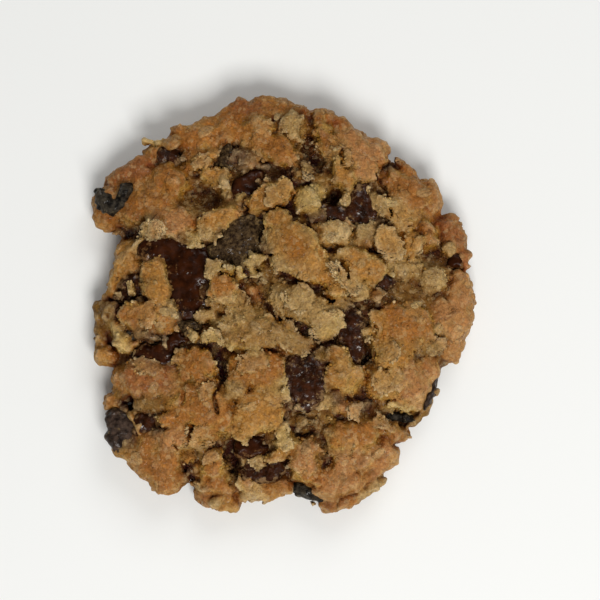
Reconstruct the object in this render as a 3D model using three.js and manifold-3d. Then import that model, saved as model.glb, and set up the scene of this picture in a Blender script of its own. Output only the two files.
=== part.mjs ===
// An oatmeal chocolate chip cookie: a rugged, hand-dropped cookie that lies flat with its top up.
// The dough is a low dome with lumps of crust and crumb baked onto it, and whole oat flakes in its surface.
// Melted chocolate, chocolate chips and raisins sit in pockets of the dough, and show between the lumps.
// Millimetres, +Z up, origin at the middle of the flat underside. +Y is the top edge seen from above.
import * as THREE from "three";
import { mergeVertices } from "three/addons/utils/BufferGeometryUtils.js";
import Module from "manifold-3d";

const wasm = await Module();
wasm.setup();

// Driving sizes. Places are measured from a point near the middle; MIDDLE is the middle of the whole.
const MIDDLE = [-0.2, -0.14];
const RIM_THICKNESS = 8.5; // the bare dough just inside its edge
const MIDDLE_THICKNESS = 14.5; // the bare dough in the middle
const BELLY_HEIGHT = 2.8; // where the side reaches furthest out
const TUCK = 0.9; // share of the outline that the shell has come in to, this far below the table:
const TUCK_DEPTH = 2.5;
const EDGE_HEIGHT = 4.6; // where the top meets the side
const ROUND_OFF = 20; // how sharply the top turns down to its edge, more is sharper
const BOXINESS = 2.7; // 2 is a round lump, more is a squarer one
const WANDER = 0.9; // how far the lumps' outlines wander
const WANDER_GRAIN = 3.1; // size of those wanderings
const RELIEF = 1.1; // height of the bare dough's swells
const RELIEF_GRAIN = 5.5;
const TILT = 0.34; // range of the lumps' own tilts, as a slope
const LIE = 0.6; // share of the dome's slope that a lump lies along
const TOP_CELLS = 55; // cells across the top, both ways
const DIRECTIONS = 240; // in which the outline is looked up
const POCKET_GAP = 0.35; // between an inclusion and the dough round it
const INCLUSION_HALF_THICKNESS = 2.6;
const INCLUSION_BOXINESS = 2.2;
const INCLUSION_RAGGED = 0.09; // share of its size that an inclusion's outline wanders
const LOBE_COLUMNS = 10;
const LOBE_ROWS = 5;
const FLAKES = 54; // whole oat flakes in the surface
const FLAKE_LENGTH = 7.6;
const FLAKE_WIDTH = 5.4;
const FLAKE_STAND = 0.7; // how far one stands out of the dough

// The bare dough's reach from the origin, every 15 degrees from +X round to +Y.
const RIM = [
  41.5, 40.5, 39.5, 39.5, 41, 42.5, 44, 43, 42.5, 41, 42, 37,
  39.5, 40.5, 40.5, 46.5, 45, 44.5, 40.5, 43, 42, 38.5, 37.5, 39.5,
];

// Lumps of dough: middle x, y, half length, half width, turn in degrees, height over the dome.
const LUMPS = [
  // the nose at the left, round its raisin
  [-38.2, 21.8, 5.6, 5.2, 0, 1.5],
  [-34.0, 28.2, 6.2, 3.6, 20, 1.5],
  [-31.0, 23.5, 7.5, 6.2, 0, 3.0],
  [-25.2, 27.5, 5.2, 4.0, -50, 3.8],
  [-25.0, 18.0, 5.6, 3.8, 5, 3.2],
  [-29.6, 17.3, 2.0, 2.6, -10, 3.2],
  [-27.2, 15.0, 2.2, 1.3, 0, 2.0],
  [-29.5, 33.4, 3.0, 2.4, 10, 1.8],
  [-28.8, 36.4, 3.4, 1.1, -2, 1.5],
  // upper left crust and the top edge
  [-19.5, 37.0, 6.9, 4.2, 12, 2.8],
  [-19.0, 32.5, 4.8, 3.4, 10, 2.4],
  [-12.5, 38.5, 4.5, 5.0, 0, 2.6],
  [-16.2, 31.5, 1.6, 3.0, -25, 2.6],
  [-6.5, 38.0, 4.4, 4.2, -20, 3.6],
  [-1.5, 33.8, 4.9, 3.6, -25, 3.4],
  [-8.0, 43.0, 5.2, 3.4, 10, 1.8],
  [-2.0, 43.8, 4.6, 3.0, -14, 1.6],
  [-12.8, 42.8, 2.4, 1.9, 20, 1.2],
  [-9.8, 45.2, 1.5, 1.8, 0, 1.0],
  [-5.2, 45.6, 1.5, 2.0, 0, 1.0],
  // between the upper left crust and the melted chocolate
  [-8.8, 31.8, 3.4, 2.9, -20, 2.4],
  [-15.6, 28.2, 3.4, 1.9, -5, 2.4],
  [-13.6, 26.0, 1.5, 2.4, 10, 2.6],
  [-14.0, 18.7, 5.0, 2.7, 22, 3.0],
  [-17.2, 16.0, 1.8, 2.6, 0, 2.6],
  [-3.2, 23.0, 5.8, 3.0, 22, 3.2],
  // left side, round the melted chocolate
  [-35.2, 10.2, 3.9, 5.2, -18, 2.2],
  [-32.2, 12.8, 2.4, 1.6, 30, 2.4],
  [-38.0, 4.6, 1.9, 3.8, -15, 1.8],
  [-28.4, 4.3, 3.3, 6.0, 12, 3.4],
  [-13.0, 3.2, 4.6, 2.6, 8, 3.6],
  [-13.0, 0.4, 2.8, 1.8, -10, 3.0],
  // top middle
  [2.2, 39.5, 2.9, 4.4, 22, 2.8],
  [9.0, 36.8, 2.7, 7.0, 20, 3.6],
  [16.5, 36.0, 7.6, 6.0, -38, 3.0],
  [11.4, 42.6, 4.8, 1.8, -22, 1.8],
  [21.0, 34.2, 3.4, 3.6, 0, 2.0],
  [13.0, 28.2, 2.2, 5.0, 5, 3.2],
  [18.2, 29.2, 3.3, 2.5, 0, 3.0],
  [4.0, 28.2, 3.2, 2.3, 10, 1.6],
  [5.2, 22.3, 3.2, 3.6, 10, 2.8],
  [7.3, 18.8, 2.2, 1.9, 0, 2.0],
  [13.8, 22.8, 1.6, 2.2, 15, 2.6],
  [21.3, 21.0, 1.7, 3.6, 25, 2.2],
  [10.2, 14.8, 4.4, 3.0, -5, 2.6],
  [18.0, 14.4, 3.7, 3.0, 0, 2.6],
  [14.2, 12.4, 2.6, 1.6, 0, 1.6],
  // upper right crust and the right edge
  [28.0, 24.8, 6.6, 4.6, -18, 3.0],
  [32.6, 23.0, 3.2, 4.8, 0, 1.8],
  [27.8, 30.4, 3.8, 1.7, -42, 1.2],
  [24.2, 22.2, 2.8, 1.1, 5, 2.6],
  [27.0, 17.8, 2.2, 3.2, 0, 2.4],
  [31.7, 15.0, 2.7, 4.2, 12, 3.0],
  [38.2, 17.0, 3.3, 3.9, 10, 1.5],
  [36.6, 12.2, 2.4, 2.2, 0, 1.6],
  [40.7, 10.4, 1.6, 2.2, 0, 1.0],
  [22.6, 13.2, 2.9, 3.2, 0, 2.8],
  [27.7, 12.3, 2.4, 2.8, 0, 2.4],
  [26.0, 7.6, 6.5, 3.0, -10, 1.6],
  [33.2, 4.9, 3.0, 3.0, 0, 2.4],
  [38.9, 5.2, 3.0, 2.4, 0, 1.8],
  [39.4, 1.6, 3.9, 3.6, 0, 1.8],
  // the shards in the middle
  [3.2, 10.6, 8.0, 5.0, -42, 4.4],
  [-0.8, 15.5, 3.2, 5.0, 10, 4.0],
  [9.2, 4.8, 3.4, 2.6, -20, 4.0],
  [0.2, 8.2, 3.6, 2.8, 0, 3.8],
  [17.2, 7.8, 6.2, 3.3, -32, 3.8],
  [16.3, 3.4, 3.3, 2.6, 0, 2.8],
  [3.8, -1.0, 8.0, 3.4, -24, 3.2],
  [9.3, -4.2, 2.8, 3.2, 30, 2.8],
  [2.0, -9.3, 4.4, 2.9, -15, 2.4],
  [-9.5, -2.0, 7.5, 2.2, -18, 1.8],
  [-8.5, -6.6, 8.8, 3.8, -3, 3.2],
  [-17.0, -3.0, 2.2, 1.8, 0, 1.8],
  // right side
  [27.0, -5.2, 6.8, 5.0, 0, 3.0],
  [20.3, -4.8, 1.8, 3.0, 0, 2.8],
  [37.2, -4.0, 5.6, 5.6, 0, 1.8],
  [36.4, -9.6, 3.8, 3.3, 20, 1.4],
  [32.8, -10.4, 3.0, 2.6, 0, 2.0],
  [24.4, -11.5, 5.0, 4.0, 0, 2.8],
  [28.2, -18.6, 5.8, 5.8, 0, 3.0],
  [32.4, -14.6, 2.6, 2.6, 0, 1.8],
  [21.5, -18.4, 3.4, 3.6, 0, 2.8],
  [25.5, -23.2, 4.4, 1.6, -8, 2.0],
  [32.4, -22.4, 1.5, 4.4, -33, 0.2],
  [13.9, -15.6, 4.6, 4.8, -20, 3.4],
  [9.0, -22.6, 2.1, 2.3, 0, 2.6],
  [14.6, -23.7, 2.4, 2.0, 0, 2.6],
  // lower right
  [15.2, -29.2, 6.0, 3.4, 12, 3.4],
  [24.0, -28.2, 4.9, 2.8, -8, 2.2],
  [17.5, -34.2, 8.0, 4.6, 8, 2.8],
  [12.0, -39.2, 6.6, 4.2, 18, 2.4],
  [22.5, -33.0, 3.4, 3.0, 30, 1.8],
  [21.0, -37.4, 4.6, 1.8, 42, 1.0],
  [18.6, -41.2, 4.4, 1.8, 36, 0.6],
  [14.3, -44.2, 3.2, 2.0, 10, 0.6],
  [10.3, -45.5, 2.2, 2.0, 0, -0.5],
  [4.8, -34.2, 3.7, 4.0, 0, 3.2],
  [5.6, -38.3, 4.4, 2.2, -5, 2.4],
  [0.8, -30.8, 3.0, 2.4, 20, 2.8],
  [-1.0, -33.4, 3.3, 1.5, 42, 3.0],
  [5.0, -27.3, 3.2, 1.8, -20, 2.0],
  // lower middle and lower left crust
  [-6.4, -15.0, 6.8, 4.5, 4, 3.2],
  [-19.0, -14.4, 5.0, 4.3, -10, 3.2],
  [-5.2, -24.0, 5.6, 4.6, 15, 3.4],
  [-8.5, -28.0, 3.6, 2.2, 20, 3.0],
  [-12.0, -20.5, 3.5, 2.2, 0, 2.6],
  [-19.0, -24.6, 8.0, 6.6, 15, 3.8],
  [-22.5, -30.2, 5.2, 3.4, 15, 3.0],
  [-29.0, -17.8, 7.6, 4.6, -14, 3.0],
  [-35.3, -16.6, 3.6, 3.2, -10, 2.0],
  [-28.0, -22.0, 5.0, 2.6, -10, 2.2],
  [-38.9, -22.0, 2.2, 2.1, 0, 0.5],
  [-28.5, -34.0, 6.4, 6.6, -20, 2.4],
  [-33.0, -33.8, 2.8, 2.5, -20, 1.8],
  [-26.0, -38.6, 4.2, 3.6, 0, 1.6],
  [-36.4, -32.4, 2.6, 2.2, -35, 0.4],
  [-32.2, -37.2, 3.6, 1.8, -40, 0.4],
  [-15.3, -36.2, 4.0, 4.0, -10, 3.0],
  [-15.5, -42.6, 5.0, 3.6, -15, 0.8],
  [-12.2, -44.2, 3.2, 2.4, 0, 1.0],
  [-6.8, -41.4, 3.8, 2.6, 0, 1.4],
  [-2.2, -40.8, 3.8, 2.8, 0, 1.8],
  // left side
  [-30.2, -3.6, 6.8, 3.4, -12, 3.2],
  [-31.0, -7.2, 3.4, 2.2, -10, 2.6],
  [-25.8, -2.0, 2.6, 2.2, 0, 3.0],
  [-36.8, -7.4, 1.9, 5.4, 35, 1.8],
  [-40.8, -4.2, 2.2, 6.6, 0, 0.0],
  [-38.8, -2.4, 2.6, 3.4, 0, 1.2],
  [-39.6, -11.4, 2.8, 2.2, 0, 0.8],
];

// Hollows in the bare dough: middle x, y, half length, half width, turn, depth.
const HOLLOWS = [
  [-18.0, 23.6, 4.4, 2.6, 0, 3.0],
  [6.0, 35.0, 1.6, 6.0, 22, 4.0],
  [10.5, 23.2, 2.6, 2.8, 0, 5.0],
  [24.0, 17.4, 1.7, 2.6, 0, 3.5],
  [12.8, 6.4, 1.3, 3.0, 40, 3.5],
  [17.3, -12.2, 2.2, 2.8, -40, 5.0],
  [-11.6, -35.0, 1.6, 4.2, 0, 4.5],
  [4.6, -29.0, 3.0, 1.2, 0, 3.0],
  [-36.2, 16.2, 3.4, 1.5, -15, 3.0],
  [-14.0, -14.8, 0.9, 4.4, 8, 3.0],
  [26.0, -25.6, 3.4, 1.1, -12, 3.0],
];

// Chocolate and raisins, each a few lobes: middle x, y, half length, half width, turn, height over the dome.
const CHOCOLATE_COLOUR = 0x2b150c;
const BLOOMED_COLOUR = 0x4a382b;
const RAISIN_COLOUR = 0x26201c;
const INCLUSIONS = {
  chocolate_pool: {
    colour: CHOCOLATE_COLOUR,
    lobes: [[-23.0, 10.6, 7.6, 3.4, -12, 1.3], [-21.8, 3.8, 3.6, 6.4, 0, 1.2]],
  },
  chocolate_bloomed_middle: { colour: BLOOMED_COLOUR, lobes: [[-9.8, 13.6, 4.6, 5.9, -28, 2.0]] },
  chocolate_chip_top_left: { colour: BLOOMED_COLOUR, lobes: [[-12.8, 32.4, 2.7, 2.4, 0, 1.6]] },
  chocolate_melted_top: { colour: CHOCOLATE_COLOUR, lobes: [[-8.6, 25.9, 4.0, 2.2, 38, 1.4]] },
  chocolate_chip_upper_edge: { colour: CHOCOLATE_COLOUR, lobes: [[-25.7, 33.4, 2.6, 2.3, 0, 3.0]] },
  chocolate_melted_upper_right: {
    colour: CHOCOLATE_COLOUR,
    lobes: [[17.3, 20.0, 2.6, 4.6, 8, 1.6], [11.6, 18.9, 3.8, 1.7, -8, 1.2]],
  },
  chocolate_left: { colour: CHOCOLATE_COLOUR, lobes: [[-33.8, 3.2, 2.4, 3.6, -25, 1.0]] },
  chocolate_chip_left: { colour: RAISIN_COLOUR, lobes: [[-34.6, -7.4, 1.7, 2.2, 30, 1.3]] },
  chocolate_melted_left: {
    colour: CHOCOLATE_COLOUR,
    lobes: [[-27.4, -12.2, 4.8, 2.3, -8, 1.6], [-24.0, -8.8, 3.6, 1.7, 22, 1.4]],
  },
  chocolate_bloomed_left: { colour: BLOOMED_COLOUR, lobes: [[-20.8, -5.1, 2.4, 1.7, 0, 1.8]] },
  chocolate_chip_right: {
    colour: CHOCOLATE_COLOUR,
    lobes: [[14.6, -5.0, 2.3, 4.4, -8, 2.0], [15.4, -9.8, 2.8, 2.2, -30, 1.4]],
  },
  chocolate_chunk_middle: { colour: CHOCOLATE_COLOUR, lobes: [[4.6, -17.3, 4.6, 5.9, -22, 2.4]] },
  chocolate_melted_bottom: { colour: CHOCOLATE_COLOUR, lobes: [[-7.2, -31.9, 3.0, 2.0, 5, 1.4]] },
  chocolate_chip_bottom: { colour: CHOCOLATE_COLOUR, lobes: [[-4.6, -37.0, 5.2, 2.2, 6, 1.8]] },
  chocolate_chip_lower_left: { colour: CHOCOLATE_COLOUR, lobes: [[-30.6, -26.6, 2.2, 2.3, 0, 1.6]] },
  chocolate_chip_small: { colour: CHOCOLATE_COLOUR, lobes: [[22.3, 4.2, 1.7, 1.4, 0, 3.2]] },
  chocolate_chip_right_edge: { colour: CHOCOLATE_COLOUR, lobes: [[39.0, 9.4, 1.9, 1.3, 0, 1.4]] },
  raisin_nose: {
    colour: RAISIN_COLOUR,
    lobes: [
      [-39.9, 23.2, 2.6, 3.0, 15, 2.4],
      [-36.6, 22.9, 2.4, 1.5, 20, 3.4],
      [-35.1, 25.4, 1.5, 2.1, -10, 3.9],
    ],
  },
  raisin_lower_left: { colour: BLOOMED_COLOUR, lobes: [[-37.4, -28.0, 2.7, 4.8, 4, 1.8]] },
  raisin_bottom_edge: { colour: RAISIN_COLOUR, lobes: [[5.6, -42.2, 4.4, 1.7, -20, 0.2]] },
  raisin_lower_right: { colour: RAISIN_COLOUR, lobes: [[25.9, -25.5, 3.4, 1.1, -10, 0.6]] },
  raisin_right_edge: { colour: BLOOMED_COLOUR, lobes: [[33.1, -20.0, 1.0, 4.2, -26, 0.6]] },
};

// A repeatable value from 0 to 1 for a point of a grid.
function lattice(i, j, k) {
  let h = Math.imul(i, 374761393) ^ Math.imul(j, 668265263) ^ Math.imul(k, 1440662683);
  h = Math.imul(h ^ (h >>> 13), 1274126177);
  return ((h ^ (h >>> 16)) >>> 0) / 4294967296;
}

// Smooth noise from -1 to 1: the eight nearest grid values, eased into each other.
function noise(x, y, z) {
  const corner = [x, y, z].map(Math.floor);
  const share = [x, y, z].map((v, n) => THREE.MathUtils.smoothstep(v - corner[n], 0, 1));
  let sum = 0;
  for (let n = 0; n < 8; n++) {
    const bit = [n & 1, (n >> 1) & 1, (n >> 2) & 1];
    const weight = bit.reduce((w, b, m) => w * (b ? share[m] : 1 - share[m]), 1);
    sum += weight * lattice(corner[0] + bit[0], corner[1] + bit[1], corner[2] + bit[2]);
  }
  return 2 * sum - 1;
}

// A value for a direction, from values that lie evenly round the circle, eased into each other.
function around(values, angle) {
  const turns = angle / (2 * Math.PI);
  const place = (turns - Math.floor(turns)) * values.length;
  const from = Math.floor(place);
  const ease = (1 - Math.cos((place - from) * Math.PI)) / 2;
  return THREE.MathUtils.lerp(values[from % values.length], values[(from + 1) % values.length], ease);
}

function rim(angle) {
  return around(RIM, angle);
}

// The bare dough's height before its swells: a low dome inside the rim.
function dome(x, y) {
  const reach = Math.hypot(x, y) / rim(Math.atan2(y, x));
  return RIM_THICKNESS + (MIDDLE_THICKNESS - RIM_THICKNESS) * (1 - Math.min(1, reach * reach));
}

// A place in a lump's own turned frame, as shares of its half length and half width.
function within([x, y, halfLength, halfWidth, turn], px, py) {
  const angle = THREE.MathUtils.degToRad(turn);
  const dx = px - x;
  const dy = py - y;
  return [
    (dx * Math.cos(angle) + dy * Math.sin(angle)) / halfLength,
    (dy * Math.cos(angle) - dx * Math.sin(angle)) / halfWidth,
  ];
}

// A place moved a little by noise, so that what is looked up there has a ragged outline.
function wandered(x, y) {
  return [3.5, 41.5].map((layer, n) => (
    [x, y][n] + WANDER * noise(x / WANDER_GRAIN, y / WANDER_GRAIN, layer)
  ));
}

// The bare dough's top: the dome with gentle swells, sunk at each hollow.
function bareTop(x, y) {
  let z = dome(x, y) + RELIEF * noise(x / RELIEF_GRAIN, y / RELIEF_GRAIN, 9.5);
  for (const hollow of HOLLOWS) {
    const [p, q] = within(hollow, x, y);
    z -= hollow[5] * Math.exp(-((p * p + q * q) ** 2));
  }
  return z;
}

// How each lump sits: half its thickness, its middle's height and its slopes along X and Y.
const SEATS = LUMPS.map(([x, y, halfLength, halfWidth, , rise], index) => {
  const half = 1 + 0.55 * Math.min(halfLength, halfWidth);
  const slope = [dome(x + 1, y) - dome(x - 1, y), dome(x, y + 1) - dome(x, y - 1)]
    .map((fall, n) => (LIE * fall) / 2 + TILT * (lattice(index, n, 77) - 0.5));
  return { half, middle: dome(x, y) + rise - half, slope };
});

// How far inside a lump's outline a place is: 1 in its middle, 0 at its outline, less outside.
function inside(lump, x, y) {
  const [p, q] = within(lump, x, y);
  return 1 - Math.abs(p) ** BOXINESS - Math.abs(q) ** BOXINESS;
}

// Oat flakes on a sunflower spiral, each turned and sized by its own number.
const FLAKE_PLACES = Array.from({ length: FLAKES }, (_, n) => {
  const angle = n * Math.PI * (3 - Math.sqrt(5));
  const reach = 0.9 * rim(angle) * Math.sqrt((n + 0.5) / FLAKES);
  const half = (0.75 + 0.5 * lattice(n, 5, 1)) / 2;
  const turn = 360 * lattice(n, 5, 2);
  return [reach * Math.cos(angle), reach * Math.sin(angle), FLAKE_LENGTH * half, FLAKE_WIDTH * half, turn];
});

// The highest dough over a place: the bare dough or the top of a lump there, raised where a flake lies.
function doughTop(x, y) {
  const [wx, wy] = wandered(x, y);
  const top = LUMPS.reduce((best, lump, index) => {
    const left = inside(lump, wx, wy);
    if (left <= 0) return best;
    const { half, middle, slope } = SEATS[index];
    const z = middle + half * left ** (1 / BOXINESS) + slope[0] * (x - lump[0]) + slope[1] * (y - lump[1]);
    return Math.max(best, z);
  }, bareTop(x, y));
  return top + (FLAKE_PLACES.some((flake) => Math.hypot(...within(flake, x, y)) < 1) ? FLAKE_STAND : 0);
}

// The cookie's reach in each direction: where the last lump ends, or the bare dough.
const OUTLINE = Array.from({ length: DIRECTIONS }, (_, n) => {
  const angle = (2 * Math.PI * n) / DIRECTIONS;
  const step = 0.2;
  const least = rim(angle);
  for (let reach = 1.3 * least; reach > least; reach -= step) {
    const [x, y] = wandered(reach * Math.cos(angle), reach * Math.sin(angle));
    if (LUMPS.some((lump) => inside(lump, x, y) > 0)) return reach;
  }
  return least;
});

// Only the positions of a geometry, with the corners that its faces share merged.
function bare(geometry) {
  geometry.deleteAttribute("normal");
  geometry.deleteAttribute("uv");
  return mergeVertices(geometry, 1e-4);
}

// The dough's shell: a box whose square top is drawn out to the outline and raised to the dough's height.
// Its sides bulge to the belly, and go on below the table, where they are cut off flat.
function doughGeometry() {
  const geometry = bare(new THREE.BoxGeometry(2, 2, 2, TOP_CELLS, TOP_CELLS, 2));
  const position = geometry.getAttribute("position");
  for (let n = 0; n < position.count; n++) {
    const [a, b, level] = [position.getX(n), position.getY(n), position.getZ(n)];
    const [u, v] = [a * Math.sqrt(1 - (b * b) / 2), b * Math.sqrt(1 - (a * a) / 2)];
    const share = Math.min(1, Math.hypot(u, v));
    const angle = Math.atan2(v, u);
    const ragged = THREE.MathUtils.lerp(rim(angle), around(OUTLINE, angle), share ** 3);
    const reach = share * ragged * (level < 0 ? TUCK : 1);
    const [x, y] = [reach * Math.cos(angle), reach * Math.sin(angle)];
    const round = Math.sqrt(1 - share ** ROUND_OFF);
    const height = [-TUCK_DEPTH, BELLY_HEIGHT, THREE.MathUtils.lerp(EDGE_HEIGHT, doughTop(x, y), round)];
    position.setXYZ(n, x, y, height[Math.round(level) + 1]);
  }
  return geometry;
}

// What is cut off below the table, which makes the underside flat.
function tableGeometry() {
  const depth = 4 * TUCK_DEPTH;
  return bare(new THREE.BoxGeometry(200, 200, depth).translate(0, 0, -depth / 2));
}

// One lobe of an inclusion: a sphere swollen towards a box, scaled to the lobe, made ragged and set in place.
function lobeGeometry([x, y, halfLength, halfWidth, turn, rise], extra) {
  const geometry = bare(new THREE.SphereGeometry(1, LOBE_COLUMNS, LOBE_ROWS).rotateX(Math.PI / 2));
  const sizes = [halfLength, halfWidth, INCLUSION_HALF_THICKNESS].map((size) => size + extra);
  const middle = dome(x, y) + rise - INCLUSION_HALF_THICKNESS;
  const angle = THREE.MathUtils.degToRad(turn);
  const position = geometry.getAttribute("position");
  for (let n = 0; n < position.count; n++) {
    const unit = [position.getX(n), position.getY(n), position.getZ(n)];
    const powers = unit.reduce((sum, v) => sum + Math.abs(v) ** INCLUSION_BOXINESS, 0);
    const wander = 1 + INCLUSION_RAGGED * noise(unit[0] + x, unit[1] + y, unit[2]);
    const [p, q, r] = unit.map((v, m) => v * wander * sizes[m] * powers ** (-1 / INCLUSION_BOXINESS));
    const across = p * Math.cos(angle) - q * Math.sin(angle);
    const along = p * Math.sin(angle) + q * Math.cos(angle);
    position.setXYZ(n, x + across, y + along, middle + r);
  }
  return geometry;
}

function toSolid(geometry) {
  return new wasm.Manifold(new wasm.Mesh({
    numProp: 3,
    vertProperties: new Float32Array(geometry.getAttribute("position").array),
    triVerts: new Uint32Array(geometry.getIndex().array),
  }));
}

function toGeometry(solid) {
  const { vertProperties, triVerts, numProp } = solid.getMesh();
  if (numProp !== 3) throw new Error("a solid's vertices hold more than a position");
  return new THREE.BufferGeometry()
    .setAttribute("position", new THREE.BufferAttribute(vertProperties, 3))
    .setIndex(new THREE.BufferAttribute(triVerts, 1));
}

function joined(geometries) {
  return geometries.map(toSolid).reduce((sum, solid) => sum.add(solid));
}

// The largest body of a solid: a cut can leave loose scraps, which are dropped.
function largest(solid) {
  return solid.decompose().sort((a, b) => b.volume() - a.volume())[0];
}

function named(name, solid, colour, roughness) {
  const material = new THREE.MeshStandardMaterial({ color: colour, roughness, metalness: 0 });
  const mesh = new THREE.Mesh(toGeometry(solid), material);
  mesh.name = name;
  return mesh;
}

const cookie = new THREE.Group();
cookie.position.set(-MIDDLE[0], -MIDDLE[1], 0);
let dough = toSolid(doughGeometry()).subtract(toSolid(tableGeometry()));
for (const [name, { colour, lobes }] of Object.entries(INCLUSIONS)) {
  dough = dough.subtract(joined(lobes.map((lobe) => lobeGeometry(lobe, POCKET_GAP))));
  cookie.add(named(name, joined(lobes.map((lobe) => lobeGeometry(lobe, 0))), colour, 0.35));
}
cookie.add(named("dough", largest(dough), 0xa9743c, 0.8));

export default cookie;
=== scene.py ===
"""An oatmeal chocolate chip cookie, lying flat with its top up.

The dough is the zero surface of a distance field: a low dome, with lumps of crust and crumb blended onto it.
A field is used because the lumps overhang each other, which no surface over two parameters can do.
Chocolate and raisins are fields of their own, and oat flakes and crumbs are small surfaces set on the dough.
Shapes are worked out in millimetres and put into the meshes in metres.
"""

import math
from collections import namedtuple

import bpy
import numpy as np
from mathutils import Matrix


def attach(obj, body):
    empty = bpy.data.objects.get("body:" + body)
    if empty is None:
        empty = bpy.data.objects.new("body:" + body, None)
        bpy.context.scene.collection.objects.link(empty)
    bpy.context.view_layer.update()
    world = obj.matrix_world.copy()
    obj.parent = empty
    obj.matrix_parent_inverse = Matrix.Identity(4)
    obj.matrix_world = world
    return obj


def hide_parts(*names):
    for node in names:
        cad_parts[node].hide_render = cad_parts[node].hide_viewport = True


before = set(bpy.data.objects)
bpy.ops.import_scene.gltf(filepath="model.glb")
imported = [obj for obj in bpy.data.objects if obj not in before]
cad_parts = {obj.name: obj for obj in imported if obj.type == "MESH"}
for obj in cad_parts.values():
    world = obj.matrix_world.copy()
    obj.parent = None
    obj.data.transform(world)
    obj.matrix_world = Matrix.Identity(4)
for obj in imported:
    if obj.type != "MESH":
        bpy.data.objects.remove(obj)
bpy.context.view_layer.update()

MM = 0.001

# ---- Sizes and places, in millimetres. Places are measured from a point near the whole's middle.

MIDDLE = (-0.2, -0.14)  # the middle of the whole
RIM_THICKNESS = 8.5
MIDDLE_THICKNESS = 14.5
HIGHEST = 19.3  # nothing stands above this
BELLY_HEIGHT = 2.8  # where the side reaches furthest out
SHOULDER = 7  # from the belly up to where the side has drawn in fully
OVERHANG = (0.05, 0.06)  # how far the side draws in below the belly and above it, as shares of the rim
FOOT = 0.6  # how far the edge's lumps stay above the table
BOXINESS = 2.7  # 2 is a round lump, more is a squarer one
FILLING_BOXINESS = 2.2  # of the small lumps between
WANDER, WANDER_GRAIN = 0.9, 3.1  # how far outlines wander, and the size of those wanderings
FRAY, FRAY_GRAIN = 0.62, 1.5  # the finer raggedness of their broken edges
RELIEF, RELIEF_GRAIN = 1.1, 5.5  # the bare dough's swells
TILT = 0.34  # range of the lumps' own tilts, as a slope
LIE = 0.6  # share of the dome's slope that a lump lies along
EDGE_LUMP = (0.86, 1.4)  # past this share of the rim, lumps wider than this reach down to the foot
CRUMB_SPACING = 2.7  # between the small lumps of crumb that fill the gaps
CRUMB_REACH = 46  # how far out they may lie
CRUMB_TILT = 0.9  # range of their tilts, as a slope
FLAKES, FLAKE_LENGTH, FLAKE_WIDTH = 54, 7.6, 5.4  # the large oat flakes, as in the solids
FLAKE_STAND, FLAKE_HALF = 0.7, 0.5  # how far a flake stands out, and half its thickness
SMALL_FLAKES, SMALLER = 20, 0.66  # more, small ones, and their size as a share
STEEPEST = 0.8  # the steepest slope that an oat lies along
PIT_OVER_DOME = 2.5  # how far over the dome a hollow starts
CRACK_WIDTH = 0.42  # half of it
CELL = 0.33  # between the places of the grid that the dough's field is worked out on
GRID = ((-46, -50, -1), (46, 50, 21))  # that grid's lowest and highest corners
TRIANGLES = 197000  # of the dough at most
SHRINK = 0.2  # taken off the surface, as its grains stand out from it
GRIT = 0.07  # the height of its finest roughness

# The bare dough's reach, every 15 degrees from +X round to +Y.
RIM = (
    41.5, 40.5, 39.5, 39.5, 41, 42.5, 44, 43, 42.5, 41, 42, 37,
    39.5, 40.5, 40.5, 46.5, 45, 44.5, 40.5, 43, 42, 38.5, 37.5, 39.5,
)

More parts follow.
